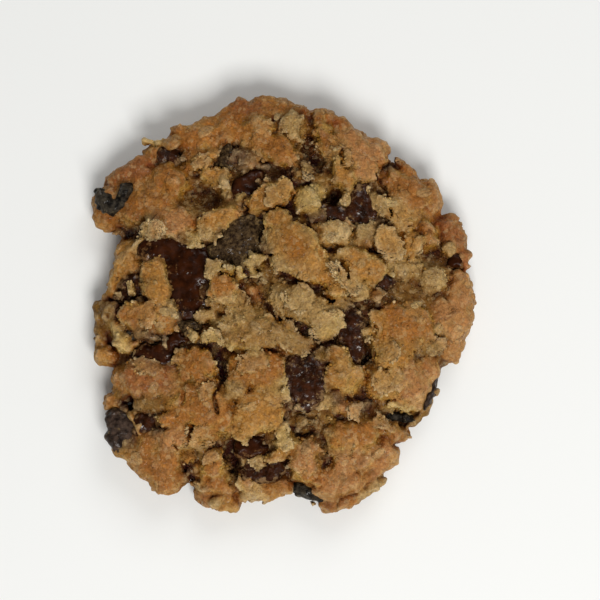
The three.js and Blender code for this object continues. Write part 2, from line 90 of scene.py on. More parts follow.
# Lumps of dough: middle x, y, half length, half width, turn in degrees, height over the dome, kind.
LUMPS = (
    # the nose at the left, round its raisin
    (-38, 21.5, 5.5, 5.1, 0, 1.5, "b"), (-34.2, 28.7, 6.2, 3.7, 22, 1.5, "r"),
    (-31, 23.5, 7.5, 6.2, 0, 3, "b"), (-25.2, 27.5, 5.2, 4, -50, 3.8, "o"),
    (-25, 18, 5.6, 3.8, 5, 3.2, "t"), (-29.6, 17.3, 2, 2.6, -10, 3.2, "p"),
    (-27.2, 15, 2.2, 1.3, 0, 2, "p"), (-29.5, 33.4, 3, 2.4, 10, 1.8, "b"),
    (-30.1, 36.3, 1.6, 0.7, -15, 1.5, "y"), (-27.4, 35.6, 2.2, 1.1, -10, 2.2, "y"),
    (-25, 35.4, 2.8, 1.5, 10, 4.4, "b"), (-23.6, 38.6, 1.7, 1.3, 20, 1.6, "b"),
    # upper left crust and the top edge
    (-19.5, 37, 6.9, 4.2, 12, 2.8, "o"), (-19, 32.5, 4.8, 3.4, 10, 2.4, "b"),
    (-12.5, 38.5, 4.5, 5, 0, 2.6, "o"), (-16.2, 31.5, 1.6, 3, -25, 2.6, "g"),
    (-6.5, 38, 4.4, 4.2, -20, 3.6, "o"), (-1.5, 33.8, 4.9, 3.6, -25, 3.4, "o"),
    (-8, 43, 5.2, 3.4, 10, 1.8, "r"), (-2, 43.6, 4.6, 2.9, -14, 1.6, "b"),
    (2.9, 43.7, 3.4, 1.7, -25, 1.4, "b"), (-12.8, 42.8, 2.4, 1.9, 20, 1.2, "b"),
    (-16.6, 41, 1.7, 1.2, 20, 1.2, "b"), (-9.6, 45.2, 1.4, 1.7, 0, 1, "r"),
    (-5.2, 45.4, 1.4, 1.9, 0, 1, "r"),
    # between that crust and the chocolate pool
    (-8.8, 31.8, 3.4, 2.9, -20, 2.4, "c"), (-15.6, 28.2, 3.4, 1.9, -5, 2.4, "g"),
    (-13.6, 26, 1.5, 2.4, 10, 2.6, "p"), (-14, 18.7, 5, 2.7, 22, 3, "g"),
    (-17.2, 16, 1.8, 2.6, 0, 2.6, "p"), (-19.3, 14, 1.4, 1.8, 0, 1.8, "y"),
    (-3.2, 23, 5.8, 3, 22, 3.2, "g"),
    # left side, round the chocolate pool
    (-34.4, 10, 3.6, 5, -18, 2.2, "g"), (-32.2, 12.8, 2.4, 1.6, 30, 2.4, "p"),
    (-38, 4.6, 1.9, 3.8, -15, 1.8, "g"), (-28.4, 4.3, 3.3, 6, 12, 3.4, "g"),
    (-33.6, 3.2, 0.8, 1.9, 10, 2.8, "y"), (-13.2, 2.9, 3.7, 2.3, 8, 3.6, "o"),
    (-15.9, 6.3, 1.9, 2, 0, 3.8, "p"), (-12.6, 7, 1.8, 1.3, 0, 3.4, "y"),
    (-13, 0.4, 2.8, 1.8, -10, 3, "p"),
    # top middle
    (2.2, 39.5, 2.9, 4.4, 22, 2.8, "p"), (-1.3, 41, 1.6, 2, 0, 1.6, "v"), (9, 36.8, 2.7, 7, 20, 3.6, "o"),
    (15.1, 34.9, 7.1, 4.9, -38, 3, "t"), (10.8, 41.2, 4.5, 1.5, -22, 1.8, "b"),
    (20.6, 33.5, 3.3, 3.2, 0, 2, "t"), (13, 28.2, 2.2, 5, 5, 3.2, "g"), (18.2, 29.2, 3.3, 2.5, 0, 3, "t"),
    (4, 28.2, 3.2, 2.3, 10, 1.6, "v"), (8.5, 28.2, 2.4, 1.5, 0, 0.8, "v"),
    (5.2, 22.3, 3.2, 3.6, 10, 2.8, "y"), (7.3, 18.8, 2.2, 1.9, 0, 2, "c"),
    (13.8, 22.8, 1.6, 2.2, 15, 2.6, "p"), (21.3, 21, 1.7, 3.6, 25, 2.2, "p"),
    (10.2, 14.8, 4.4, 3, -5, 2.6, "p"), (18, 14.4, 3.7, 3, 0, 2.6, "p"),
    (14.2, 12.4, 2.6, 1.6, 0, 1.6, "c"),
    # upper right crust and the right edge
    (27.8, 24.6, 6.4, 4.6, -18, 3, "b"), (32.3, 22.6, 3.1, 4.9, 0, 1.8, "t"),
    (24.3, 28.2, 2.4, 2, 0, 2.4, "b"), (27.3, 29.8, 3.7, 1.6, -42, 1.2, "b"),
    (32.1, 26, 1.9, 1.4, 0, 1.2, "t"), (24.2, 22.2, 2.8, 1.1, 5, 2.6, "p"),
    (27, 17.8, 2.2, 3.2, 0, 2.4, "g"), (31.7, 15, 2.7, 4.2, 12, 3, "o"),
    (36.4, 16.6, 3, 3.4, 10, 1.7, "r"), (38.4, 13.6, 3.2, 2.8, 0, 1.5, "r"),
    (36.4, 12.2, 2.4, 2.2, 0, 2, "p"), (40.9, 10, 1.4, 2.6, 0, 1.4, "r"),
    (22.6, 13.2, 2.9, 3.2, 0, 2.8, "g"), (27.7, 12.3, 2.4, 2.8, 0, 2.4, "g"),
    (26, 7.6, 6.5, 3, -10, 1.6, "p"), (33.2, 4.9, 3, 3, 0, 2.4, "p"), (38.9, 5.2, 3, 2.4, 0, 1.8, "t"),
    (39.3, 1.5, 3.9, 3.6, 0, 1.8, "t"),
    # the shards in the middle
    (3.6, 10.2, 8.3, 5, -43, 4.4, "g"), (-0.8, 15.5, 3.2, 5, 10, 4, "g"),
    (10, 4.3, 4.2, 2.8, -35, 4.2, "g"), (11.4, 1.8, 2, 1.6, 0, 2.4, "m"),
    (0.2, 8.2, 3.6, 2.8, 0, 3.8, "p"), (-6.2, 9.3, 1.8, 1.4, 0, 2.6, "y"), (-6, 6, 1.6, 1, 0, 2.4, "y"),
    (17.2, 7.8, 6.2, 3.3, -32, 3.8, "g"), (12.3, 9.9, 2, 1.6, 30, 3.6, "p"),
    (16.3, 3.4, 3.3, 2.6, 0, 2.8, "p"), (20.4, 3.2, 1.4, 1.3, 0, 2.2, "p"),
    (3.8, -1, 8, 3.4, -24, 3.2, "p"), (9.3, -4.2, 2.8, 3.2, 30, 2.8, "y"),
    (2, -9.3, 4.4, 2.9, -15, 2.4, "m"), (-9.5, -2, 7.5, 2.2, -18, 1.8, "m"),
    (-8.5, -6.6, 8.8, 3.8, -3, 3.2, "m"), (-19.6, -7.9, 1.5, 1.2, 0, 3, "y"),
    (-17, -3, 2.2, 1.8, 0, 1.8, "p"), (-15.2, -8.8, 2.6, 1.4, -14, 3.2, "y"),
    (-11, -9.9, 2.5, 1.2, -4, 3, "y"), (-6.6, -9.8, 2.2, 1.3, 8, 2.9, "y"),
    (-9.8, -5.2, 1.8, 1.3, 20, 3.7, "p"), (-13.4, -6, 1.5, 1.1, -30, 3.6, "p"),
    (-5, -6.6, 1.6, 1.2, 10, 3.6, "m"),
    # right side
    (27, -5.2, 6.8, 5, 0, 3, "o"), (20.3, -4.8, 1.8, 3, 0, 2.8, "g"), (36.9, -4, 5.5, 5.6, 0, 1.8, "t"),
    (36.4, -9.6, 3.8, 3.3, 20, 1.4, "t"), (38.5, -12, 1.6, 1.4, 0, 0.4, "t"),
    (32.8, -10.4, 3, 2.6, 0, 2, "v"), (24.4, -11.5, 5, 4, 0, 2.8, "g"),
    (27.5, -18.5, 5.2, 5.7, 0, 3, "t"), (32.4, -14.6, 2.6, 2.6, 0, 1.8, "t"),
    (21.5, -18.4, 3.4, 3.6, 0, 2.8, "g"), (25.5, -23.2, 4.4, 1.6, -8, 2, "y"),
    (31.9, -22.4, 1.2, 4, -33, -0.8, "v"), (28.7, -26.3, 1.4, 1.2, 0, 0.4, "v"),
    (13.9, -15.6, 4.6, 4.8, -20, 3.4, "g"), (11.8, -11.6, 2, 1.8, 0, 2.8, "b"),
    (9, -22.6, 2.1, 2.3, 0, 2.6, "p"), (11.8, -21.5, 2, 1.8, 0, 2.4, "c"),
    (14.6, -23.7, 2.4, 2, 0, 2.6, "t"), (18, -22.8, 1.7, 1.5, 0, 1.4, "c"),
    # lower right
    (15.2, -29.2, 6, 3.4, 12, 3.4, "o"), (23.6, -28.2, 4.8, 2.8, -8, 2.2, "b"),
    (17.5, -34.2, 8, 4.6, 8, 2.8, "t"), (12, -39.2, 6.6, 4.2, 18, 2.4, "t"),
    (21.9, -33, 3.2, 2.9, 30, 1.8, "t"), (20.4, -37.2, 4.2, 1.6, 42, 1, "r"),
    (18.6, -41.2, 4.4, 1.8, 36, 0.6, "p"), (14.3, -44.2, 3.2, 2, 10, 0.6, "b"),
    (10.3, -45.1, 2.2, 1.8, 0, -0.5, "r"), (4.8, -34.2, 3.7, 4, 0, 3.2, "t"),
    (5.6, -38.3, 4.4, 2.2, -5, 2.4, "o"), (0.8, -30.8, 3, 2.4, 20, 2.8, "y"),
    (-1, -33.4, 3.3, 1.5, 42, 3, "g"), (5, -27.3, 3.2, 1.8, -20, 2, "v"), (10.2, -29, 1.1, 1, 0, 3, "p"),
    (6.4, -44.6, 0.8, 0.7, 0, -1, "p"),
    # lower middle and lower left crust
    (-6.4, -15, 6.8, 4.5, 4, 3.2, "o"), (-11, -18.5, 2.6, 1.8, 0, 2.8, "p"),
    (-19, -14.4, 5, 4.3, -10, 3.2, "o"), (-23.6, -13.2, 1.7, 1.1, 20, 2.8, "g"),
    (-5.2, -24, 5.6, 4.6, 15, 3.4, "g"), (-8.5, -28, 3.6, 2.2, 20, 3, "g"),
    (-12, -20.5, 3.5, 2.2, 0, 2.6, "p"), (-19, -24.6, 8, 6.6, 15, 3.8, "o"),
    (-22.5, -30.2, 5.2, 3.4, 15, 3, "t"), (-29, -17.8, 7.6, 4.6, -14, 3, "r"),
    (-35.3, -16.6, 3.6, 3.2, -10, 2, "o"), (-28, -22, 5, 2.6, -10, 2.2, "v"),
    (-38.6, -22.1, 2.1, 2, 0, 0.5, "o"), (-36.4, -20, 2.4, 2.6, 0, 1.2, "v"),
    (-26.4, -26.3, 1.9, 1.7, 0, 3.4, "o"), (-32.3, -28.2, 0.9, 1.6, 0, 2, "g"),
    (-33.2, -25.4, 0.8, 1.7, 15, 2, "g"), (-28.2, -33.8, 6.4, 6.5, -20, 2.4, "b"),
    (-33, -33.8, 2.8, 2.5, -20, 1.8, "g"), (-26.2, -38.9, 4.3, 3.7, 0, 1.6, "b"),
    (-21.9, -39.3, 1.2, 1.7, 0, 0.2, "v"), (-36, -32.4, 2.5, 1.8, -35, 0.2, "v"),
    (-31.9, -36.9, 3.5, 1.7, -40, 0.4, "v"), (-15.3, -36.2, 4, 4, -10, 3, "o"),
    (-18.8, -33.2, 1.8, 1.5, 0, 1.6, "v"), (-15, -42.8, 4.9, 3.6, -15, -0.6, "r"),
    (-12.2, -44.5, 3.3, 2.6, 0, -0.4, "g"), (-15.8, -40.4, 3, 2.2, 10, 1.6, "b"),
    (-18.2, -41.6, 1.6, 2, 20, 0.4, "p"), (-12.4, -41.6, 2, 1.6, -20, 0.8, "t"),
    (-14.6, -44.2, 1.6, 1.2, 30, 0.4, "p"), (-6.6, -41.7, 3.8, 2.7, 0, 1.4, "p"),
    (-2, -41, 4, 2.9, 0, 1.8, "o"), (-5.6, -35.2, 2, 1.8, -20, 2.6, "p"),
    # left edge, below the pool
    (-30.2, -3.6, 6.8, 3.4, -12, 3.2, "o"), (-31, -7.2, 3.4, 2.2, -10, 2.6, "c"),
    (-25.8, -2, 2.6, 2.2, 0, 3, "p"), (-36.8, -7.4, 1.9, 5.4, 35, 1.8, "y"),
    (-40.9, -5.2, 2.3, 6.3, 0, 0, "v"), (-38.8, -2.4, 2.6, 3.4, 0, 1.2, "v"),
    (-39.7, -11.7, 2.9, 2.4, 0, 0.8, "g"), (-36.6, 15.5, 1.8, 1.2, -20, 0.4, "v"),
    (-39.7, 1.8, 1, 1.5, 0, 0, "v"), (-21.8, -39.4, 1.4, 1.8, 0, 0.2, "v"),
    # between the lower left crust and its raisin
    (-35.6, -25.2, 2.8, 3.2, 0, 0.6, "c"), (-34.4, -30.4, 2.4, 3, 0, 0.8, "c"),
)

# Hollows in the bare dough: middle x, y, half length, half width, turn, depth.
HOLLOWS = (
    (-18, 23.6, 4.4, 2.6, 0, 3), (6, 35, 1.6, 6, 22, 3.2), (10.8, 23, 2, 2.4, 0, 4),
    (17.3, -12.2, 2.2, 2.8, -40, 4), (-11.6, -35, 1.6, 4.2, 0, 4.5), (4.6, -29, 3, 1.2, 0, 2.2),
    (-36.2, 16.2, 3.4, 1.5, -15, 3), (-14, -14.8, 0.9, 4.4, 8, 3),
    (26, -25.6, 3.4, 1.1, -12, 3),
)

# Cracks through the crust: x, y of the two ends, depth.
CRACKS = (
    (-14.2, -11.8, -13.6, -17, 4.5), (-13.6, -17, -15.2, -21, 3),
    (-15.2, -21, -14.4, -24.5, 1.2), (20.6, 28.6, 22.8, 24.4, 3.5), (-12.4, 24.6, -15.4, 21.8, 2.5),
    (-24.6, -17.8, -21.8, -20.2, 1.2), (-21.8, -20.2, -22.6, -22.6, 1),
    (-19.6, -27.6, -22.4, -33.2, 1.2), (-24.2, -32, -21.8, -36.2, 1), (19.8, -5.4, 20.2, -9.6, 2),
    (12.6, 33.4, 13.2, 30.4, 1.8), (27.4, 16.6, 31.6, 18.8, 1.6), (-11.6, 22.2, -6.8, 17.6, 2),
    (4.6, -29.4, 10.4, -26.8, 2.2), (12.4, 8.8, 14, 4.6, 1.6),
)

# Rolled oats that show pale: middle x, y, half length, half width, turn.
OATS = (
    (-26.9, 14.2, 1.9, 1.2, 10), (-28.8, 18, 1.8, 1, 80), (-25, 27.7, 2.7, 1.4, -55),
    (-9.3, 35, 1.6, 0.9, 5), (-1.5, 41.6, 1, 0.8, 60), (-8.9, 27.8, 1.7, 0.8, 80),
    (-6.8, 9.4, 1.2, 0.8, 70), (-4.3, 4.4, 1.2, 0.6, -30), (-16.2, 5.9, 1.5, 1, 80),
    (-3.4, 8.8, 1.2, 0.9, 30), (19.2, 26.4, 1.7, 0.7, 10), (22.6, 18.7, 1.5, 1, 70),
    (10.8, 13.9, 1.9, 1.2, 10), (23.8, 21.8, 1.9, 0.8, 5), (17, 8.1, 1.4, 1, 70),
    (14.8, 6.3, 1.2, 0.8, 20), (11.7, 9.6, 1.3, 1, 40), (-26.3, -2.3, 1.5, 1, -20),
    (-27.2, -5.4, 1.3, 0.9, 10), (-17, -22.7, 0.8, 0.6, 0), (-28.8, -19, 1.5, 1, 60),
    (-7.1, -23.3, 1.5, 1.1, 20), (-20.1, -7.8, 1.4, 0.9, 20), (-31.3, -11.9, 1.4, 0.7, 20),
    (-32.8, -34.6, 1.7, 1.3, -30), (8.6, -24.9, 1.4, 0.9, -20), (4.9, -32.3, 1.7, 1.2, 80),
    (13.4, -35.6, 1, 0.7, 40), (34.3, -6, 1.5, 1.1, 50), (38.6, -6, 1.2, 0.9, 0),
    (29.4, -0.7, 1.4, 0.9, 20), (23.8, -29.2, 1.3, 0.9, 10), (21, -33.6, 1.6, 1, 40),
    (-17.6, 38.2, 2, 1.2, 30), (-22.4, 36.4, 1.8, 1.1, -20), (5, -10.6, 1.6, 1, 30),
    (27.4, 10.6, 1.5, 1, 20), (-36.2, 9.8, 1.7, 1, 60), (9.4, 40.2, 1.9, 1.1, -40),
    (31.2, 24.4, 1.7, 1.1, 10),
)
STREWN_OATS = 60  # more of them, at places drawn by chance
OAT_SPOKES, OAT_ROWS = 18, 6  # the points round each ring of an oat, and its rings
OAT_STEP = 1.2  # how far from its middle the slope under an oat is measured
OAT_UNEVEN = 0.35  # how far the ground may stray from that slope
# An oat's rings, from the middle of its top to that of its underside: how far out each is, as a share of
# its half length, and how high.
OAT_PROFILE = (
    (0, 0.3, 0.55, 0.8, 0.95, 1.02, 0.85, 0), (0.24, 0.24, 0.2, 0.11, -0.04, -0.2, -0.6, -0.6),
)
CRUMBS = 6000  # grains of crumb on the dough's skin

# Chocolate and raisins, each a few lobes: middle x, y, half length, half width, turn, height over the dome.
INCLUSIONS = {
    "chocolate_pool": ("melted", [
        (-23.6, 11.2, 8.2, 3.5, -12, 1.2), (-19.4, 7.8, 4.6, 3.2, -20, 1.1), (-21.8, 3, 3.7, 6.8, 0, 1.1),
    ]),
    "chocolate_bloomed_middle": ("bloomed", [
        (-9.8, 13.6, 4.6, 5.9, -28, 2), (-12.8, 11.4, 3.4, 2.8, 30, 1.6),
    ]),
    "chocolate_chip_top_left": ("bloomed", [(-12.8, 32.4, 2.7, 2.4, 0, 1.6)]),
    "chocolate_melted_top": ("melted", [(-8.6, 25.9, 4, 2.2, 38, 1.4)]),
    "chocolate_chip_upper_edge": ("dusty", [(-25.6, 33, 2.3, 1.7, 0, 2.6)]),
    "chocolate_melted_upper_right": ("dusty", [
        (17.4, 19.9, 2.8, 5, 8, 1.7), (11.6, 19.2, 4, 1.9, -8, 1.7),
    ]),
    "chocolate_left": ("dusty", [(-33.8, 3.2, 2.4, 3.6, -25, 1)]),
    "chocolate_chip_left": ("raisin", [(-34.6, -7.4, 1.7, 2.2, 30, 1.3)]),
    "chocolate_melted_left": ("melted", [
        (-27.4, -12.2, 4.6, 2.2, -8, 1.6), (-24, -9.2, 3.2, 1.4, 22, 1.2),
    ]),
    "chocolate_bloomed_left": ("bloomed", [(-20.8, -5.1, 2.4, 1.7, 0, 1.8)]),
    "chocolate_chip_right": ("dusty", [(14.6, -5.6, 2.3, 4.2, -8, 2), (15.2, -10.4, 2.8, 2.4, -30, 1.5)]),
    "chocolate_chunk_middle": ("dusty", [(4.6, -17.3, 4.6, 5.9, -22, 2.4)]),
    "chocolate_melted_bottom": ("melted", [(-7.2, -31.9, 3, 2, 5, 1.4)]),
    "chocolate_chip_bottom": ("dusty", [(-4.6, -37, 5.2, 2.2, 6, 1.8)]),
    "chocolate_chip_lower_left": ("dusty", [(-30.6, -26.6, 2.2, 2.3, 0, 1.6)]),
    "chocolate_chip_small": ("dusty", [(22.3, 4.2, 1.7, 1.4, 0, 3.2)]),
    "chocolate_chip_right_edge": ("melted", [(38.4, 9.3, 1.6, 1.1, 0, 1.2)]),
    "raisin_nose": ("raisin", [
        (-39.9, 22.7, 3.4, 2, -58, 2.4), (-37.4, 21.8, 2.2, 1.5, 38, 3.2),
        (-35.4, 24.6, 2.3, 1.5, 66, 3.9),
    ]),
    "raisin_lower_left": ("dusted", [
        (-37.2, -26.8, 2.5, 2.9, 30, 2.1), (-37.4, -30.7, 2.6, 1.9, -42, 1.3),
        (-34.9, -27.9, 1.9, 3, 10, 1.7),
    ]),
    "raisin_bottom_edge": ("raisin", [(5.6, -42.2, 4.4, 1.7, -20, 0.2)]),
    "raisin_lower_right": ("raisin", [(25.9, -25.5, 3.4, 1.1, -10, 0.6)]),
    "raisin_right_edge": ("dusted", [(32.6, -20.4, 0.75, 4.1, -26, 1)]),
}

# The finishes of chocolate and raisins. Of each: its slot, how far its outline wanders, how far it has run
# out into the dough, how far its top has sunk, its boxiness, the depth of the lumps on its top where it has
# no folds, and how strongly it stains the dough.
Finish = namedtuple("Finish", "slot wander spread sink boxiness lumpy stain")
FINISHES = {
    "melted": Finish("chocolate", 1.0, 0.8, 0.3, 3.0, 0.05, 0.85),
    "dusty": Finish("chocolate", 1.2, 0.7, 0.3, 3.0, 0.16, 0.85),
    "bloomed": Finish("bloomed_chocolate", 1.5, 0.3, 0.1, 2.2, 0.36, 0.85),
    "raisin": Finish("raisin", 0.4, 0.2, 0.4, 2.2, None, 0.4),
    "dusted": Finish("raisin", 0.5, 0.3, 0.1, 2.2, None, 0.85),
}
INCLUSION_HALF_THICKNESS = 2.6
INCLUSION_CELL = 0.22
FOLD_DEPTH = 0.6  # of a raisin's folds

# ---- Colours, as sRGB hex values.

OAT_IN_DOUGH = "#A98B56"
ROLLED_OAT = "#B89E6E"
# The hollows' dark brown: partly moist dough, partly painted shade.
MOIST_AND_SHADED_HOLLOW = "#5C3A10"
# The ridges' pale: partly torn crumb, partly a painted highlight.
TORN_RIDGE_AND_HIGHLIGHT = "#CBB38A"
CHOCOLATE_STAIN = "#3A1E0B"
BROWNED_UNDERSIDE = "#7A4A1E"


def linear(*hexes):
    """Linear RGB for sRGB hex values, one row each."""
    rgb = np.array([[int(h[n:n + 2], 16) for n in (1, 3, 5)] for h in hexes]) / 255
    return np.where(rgb <= 0.04045, rgb / 12.92, ((rgb + 0.055) / 1.055) ** 2.4)


def toward(colours, shade, share):
    """Linear colours, moved a share of the way to an sRGB shade."""
    return colours + (linear(shade)[0] - colours) * share


# Each kind of lump: its baked cap, the crumb at its broken sides, its grain's depth and its blend, in mm.
KINDS = {
    "b": ("#8A5620", "#A88446", 0.06, 1.3),  # brown crust
    "r": ("#885226", "#9C783C", 0.07, 1.5),  # darker, redder rim
    "o": ("#925C22", "#AC8844", 0.06, 1.0),  # orange crust
    "t": ("#9E6C3C", "#AE8C54", 0.08, 1.1),  # tan crust
    "g": ("#9A6A2C", "#B69454", 0.12, 0.6),  # golden crust
    "m": ("#866230", "#A8884E", 0.24, 0.6),  # moist brown crumb
    "p": ("#9C7C4A", "#B89C6A", 0.24, 0.5),  # pale crumb
    "y": ("#AA8C52", "#C4AA72", 0.24, 0.4),  # yellow crumb
    # The moist olive crumb lies low, between the lumps and as the bare dough: its dark olive is partly
    # painted shade of those recesses.
    "v": ("#785622", "#6C4C1A", 0.18, 0.7),  # moist olive crumb
    "c": ("#604428", "#503418", 0.26, 0.5),  # crumb dusted with chocolate
}
BARE_KIND = "v"
FILLING_KINDS = "vvpcpygt"  # of the crumb in the gaps

# ---- Noise and fields.


def lattice(i, j, k):
    """A repeatable value from 0 to 1 for each point of a whole-number grid."""
    h = (i * np.uint32(374761393)) ^ (j * np.uint32(668265263)) ^ (k * np.uint32(1440662683))
    h = (h ^ (h >> np.uint32(13))) * np.uint32(1274126177)
    return (h ^ (h >> np.uint32(16))).astype(np.float32) / np.float32(2 ** 32)


def draw(i, j, k):
    """A repeatable value from 0 to 1 for three whole numbers."""
    return float(lattice(*(np.array(v).astype(np.int64).astype(np.uint32) for v in (i, j, k))))


def noise(x, y, z):
    """Smooth noise from -1 to 1: the eight nearest grid values, eased into each other."""
    low = [np.floor(v) for v in (x, y, z)]
    share = [v - b for v, b in zip((x, y, z), low)]
    share = [(s * s * (3 - 2 * s)).astype(np.float32) for s in share]
    cell = [np.asarray(b).astype(np.int64).astype(np.uint32) for b in low]
    total = np.float32(0)
    for n in range(8):
        bits = (n & 1, n >> 1 & 1, n >> 2 & 1)
        weight = np.float32(1)
        for s, bit in zip(share, bits):
            weight = weight * (s if bit else 1 - s)
        total = total + weight * lattice(*(c + np.uint32(bit) for c, bit in zip(cell, bits)))
    return 2 * total - 1


def clouds(place, size, layer=0):
    """Noise with swells of a size in mm, where place holds x, y and z. Each layer is its own pattern."""
    x, y, z = place
    return noise(x / size, y / size, z / size + layer)


def grains(x, y, z, size):
    """Packed round grains: from 1 at the middle of a grain down to 0 at its neighbours.

    Each cell of a cubic grid holds one jittered middle, and what counts is the distance to the nearest.
    """
    at = [np.asarray(v / size, np.float32) for v in (x, y, z)]
    cell = [np.floor(v) for v in at]
    nearest = np.float32(9)
    for n in range(27):
        own = [c + step for c, step in zip(cell, (n % 3 - 1, n // 3 % 3 - 1, n // 9 - 1))]
        key = [v.astype(np.int64).astype(np.uint32) for v in own]
        salted = [(key[0] + np.uint32(m), key[1], key[2]) for m in (0, 7001, 15013)]
        away = sum((o + lattice(*k) - a) ** 2 for o, k, a in zip(own, salted, at))
        nearest = np.minimum(nearest, away)
    return 1 - np.minimum(nearest, 1)


def blend(a, b, reach):
    """The lower of two fields, rounded into each other where they are within reach of being equal."""
    near = np.maximum(reach - np.abs(a - b), 0) / reach
    return np.minimum(a, b) - near * near * reach / 4


def carve(a, b, reach):
    """The higher of two fields, rounded in the same way."""
    return -blend(-a, -b, reach)


def smooth(low, high, v):
    """0 below low and 1 above high, eased between."""
    s = np.clip((v - low) / (high - low), 0, 1)
    return s * s * (3 - 2 * s)


def rim(x, y):
    """The bare dough's reach in a place's direction: the rim radii, eased into each other."""
    place = np.arctan2(y, x) / (2 * math.pi) % 1 * len(RIM)
    start = np.floor(place).astype(int) % len(RIM)
    ease = (1 - np.cos((place - np.floor(place)) * math.pi)) / 2
    radii = np.array(RIM)
    return radii[start] * (1 - ease) + radii[(start + 1) % len(RIM)] * ease


def dome(x, y):
    """The bare dough's height before its swells: a low dome inside the rim."""
    reach = np.hypot(x, y) / rim(x, y)
    return RIM_THICKNESS + (MIDDLE_THICKNESS - RIM_THICKNESS) * (1 - np.minimum(1, reach * reach))


def within(shape, x, y):
    """A place in a shape's own turned frame, as shares of its half length and half width."""
    cx, cy, length, width, turn = shape[:5]
    c, s = math.cos(math.radians(turn)), math.sin(math.radians(turn))
    return ((x - cx) * c + (y - cy) * s) / length, ((y - cy) * c - (x - cx) * s) / width


def bare_top(x, y):
    """The bare dough's top: the dome with gentle swells, sunk at each hollow."""
    z = dome(x, y) + RELIEF * noise(x / RELIEF_GRAIN, y / RELIEF_GRAIN, np.float32(9.5))
    for hollow in HOLLOWS:
        p, q = within(hollow, x, y)
        z = z - hollow[5] * np.exp(-((p * p + q * q) ** 2))
    return z


def seated(lump, n):
    """A lump with how it sits: half its thickness, its middle's height and its slopes.

    A large one at the rim reaches down to the foot.
    """
    x, y, length, width, turn, rise, kind = lump
    top = float(dome(x, y)) + rise
    half = 1 + 0.55 * min(length, width)
    share, least = EDGE_LUMP
    if math.hypot(x, y) / float(rim(x, y)) > share and min(length, width) > least:
        half = max(half, (top - FOOT) / 2)
    falls = (dome(x + 1, y) - dome(x - 1, y), dome(x, y + 1) - dome(x, y - 1))
    own = [draw(n, m, 77) - 0.5 for m in (0, 1)]
    slopes = [LIE * float(fall) / 2 + TILT * t for fall, t in zip(falls, own)]
    return x, y, length, width, turn, half, top - half, *slopes, kind


def grown(lobe, margin):
    """A lobe whose half length and half width are larger by a margin."""
    x, y, length, width, *rest = lobe
    return x, y, length + margin, width + margin, *rest


def on_chocolate(x, y, margin):
    """The height over the dome of the chocolate or raisin within a margin of a place, or None."""
    for _, lobes in INCLUSIONS.values():
        for lobe in lobes:
            if math.hypot(*within(grown(lobe, margin), x, y)) < 1:
                return lobe[5]
    return None


def filling():
    """Small lumps of crumb between the lumps of the table, one in each cell of a jittered grid."""
    made = []
    reach = int(CRUMB_REACH / CRUMB_SPACING)
    for i in range(-reach, reach + 1):
        for j in range(-reach, reach + 1):
            h = [draw(i, j, k) for k in range(90, 97)]
            x, y = (i + h[0]) * CRUMB_SPACING, (j + h[1]) * CRUMB_SPACING
            outside = math.hypot(x, y) > 0.95 * float(rim(x, y))
            if outside or on_chocolate(x, y, 0.1) is not None:
                continue
            half = 0.9 + 1.3 * h[2]
            top = float(bare_top(np.float64(x), np.float64(y))) - 0.4 + 1.4 * h[4]
            beside = on_chocolate(x, y, 2.2)
            if beside is not None:
                top, half = float(dome(x, y)) + beside + 0.9 * h[4] - 0.2, 0.9 + 0.8 * h[2]
            thick = 0.8 + 0.4 * half
            slopes = [CRUMB_TILT * (v - 0.5) for v in h[5:7]]
            shape = (x, y, half, half * (0.6 + 0.4 * h[5]), 360 * h[6], thick, top - thick)
            made.append((*shape, *slopes, FILLING_KINDS[int(len(FILLING_KINDS) * h[3])]))
    return made


def ellipsoid(p, q, r, sizes, power):
    """The distance to a swollen ellipsoid, nearly: its measure less one, over that measure's steepness.

    The measure is the power-mean of the three shares p, q and r: 1 on the surface and growing outwards.
    """
    powers = [np.maximum(np.abs(v), 1e-3) ** (power - 1) for v in (p, q, r)]
    total = sum(w * np.maximum(np.abs(v), 1e-3) for w, v in zip(powers, (p, q, r)))
    measure = total ** (1 / power)
    steepness = np.sqrt(sum((w / size) ** 2 for w, size in zip(powers, sizes))) * measure ** (1 - power)
    return (measure - 1) / steepness


class Grid:
    """A box of evenly spaced places, with one value at each."""

    def __init__(self, low, high, cell):
        self.low, self.cell = np.array(low, dtype=float), cell
        self.shape = tuple(int(math.ceil((b - a) / cell)) + 1 for a, b in zip(low, high))
        self.axes = [a + cell * np.arange(n, dtype=np.float32) for a, n in zip(low, self.shape)]

    def places(self, part=(slice(None),) * 3):
        """The three coordinates of part of the grid, each along its own axis."""
        cut = [values[span] for values, span in zip(self.axes, part)]
        return [v.reshape([-1 if n == m else 1 for m in range(3)]) for n, v in enumerate(cut)]

    def around(self, x, y, reach, low, high):
        """The part of the grid within reach of x and y, between two heights."""
        bounds = ((x - reach, x + reach), (y - reach, y + reach), (low, high))
        return tuple(
            slice(max(0, int((a - o) / self.cell)), max(1, min(n, int((b - o) / self.cell) + 2)))
            for (a, b), o, n in zip(bounds, self.low, self.shape)
        )

    def near(self, field, distance):
        """Which places are so near a field's surface, as indices, and their coordinates."""
        found = np.nonzero(np.abs(field) < distance)
        return found, [axis[index] for axis, index in zip(self.axes, found)]

    def sample(self, values, points):
        """The values at points, weighted from the eight nearest places."""
        at = (points - self.low) / self.cell
        start = np.clip(np.floor(at).astype(int), 0, np.array(self.shape) - 2)
        share = np.clip(at - start, 0, 1)
        total = 0
        for n in range(8):
            bits = np.array((n & 1, n >> 1 & 1, n >> 2 & 1))
            weight = np.where(bits, share, 1 - share).prod(axis=1)
            total = total + weight * values[tuple((start + bits).T)]
        return total

    def nearest(self, values, points):
        """The value at the place nearest to each point. Both may also be flat, in x and y alone."""
        sides = points.shape[-1]
        at = np.rint((points - self.low[:sides]) / self.cell).astype(int)
        at = np.clip(at, 0, np.array(self.shape[:sides]) - 1)
        return values[tuple(np.moveaxis(at, -1, 0))]


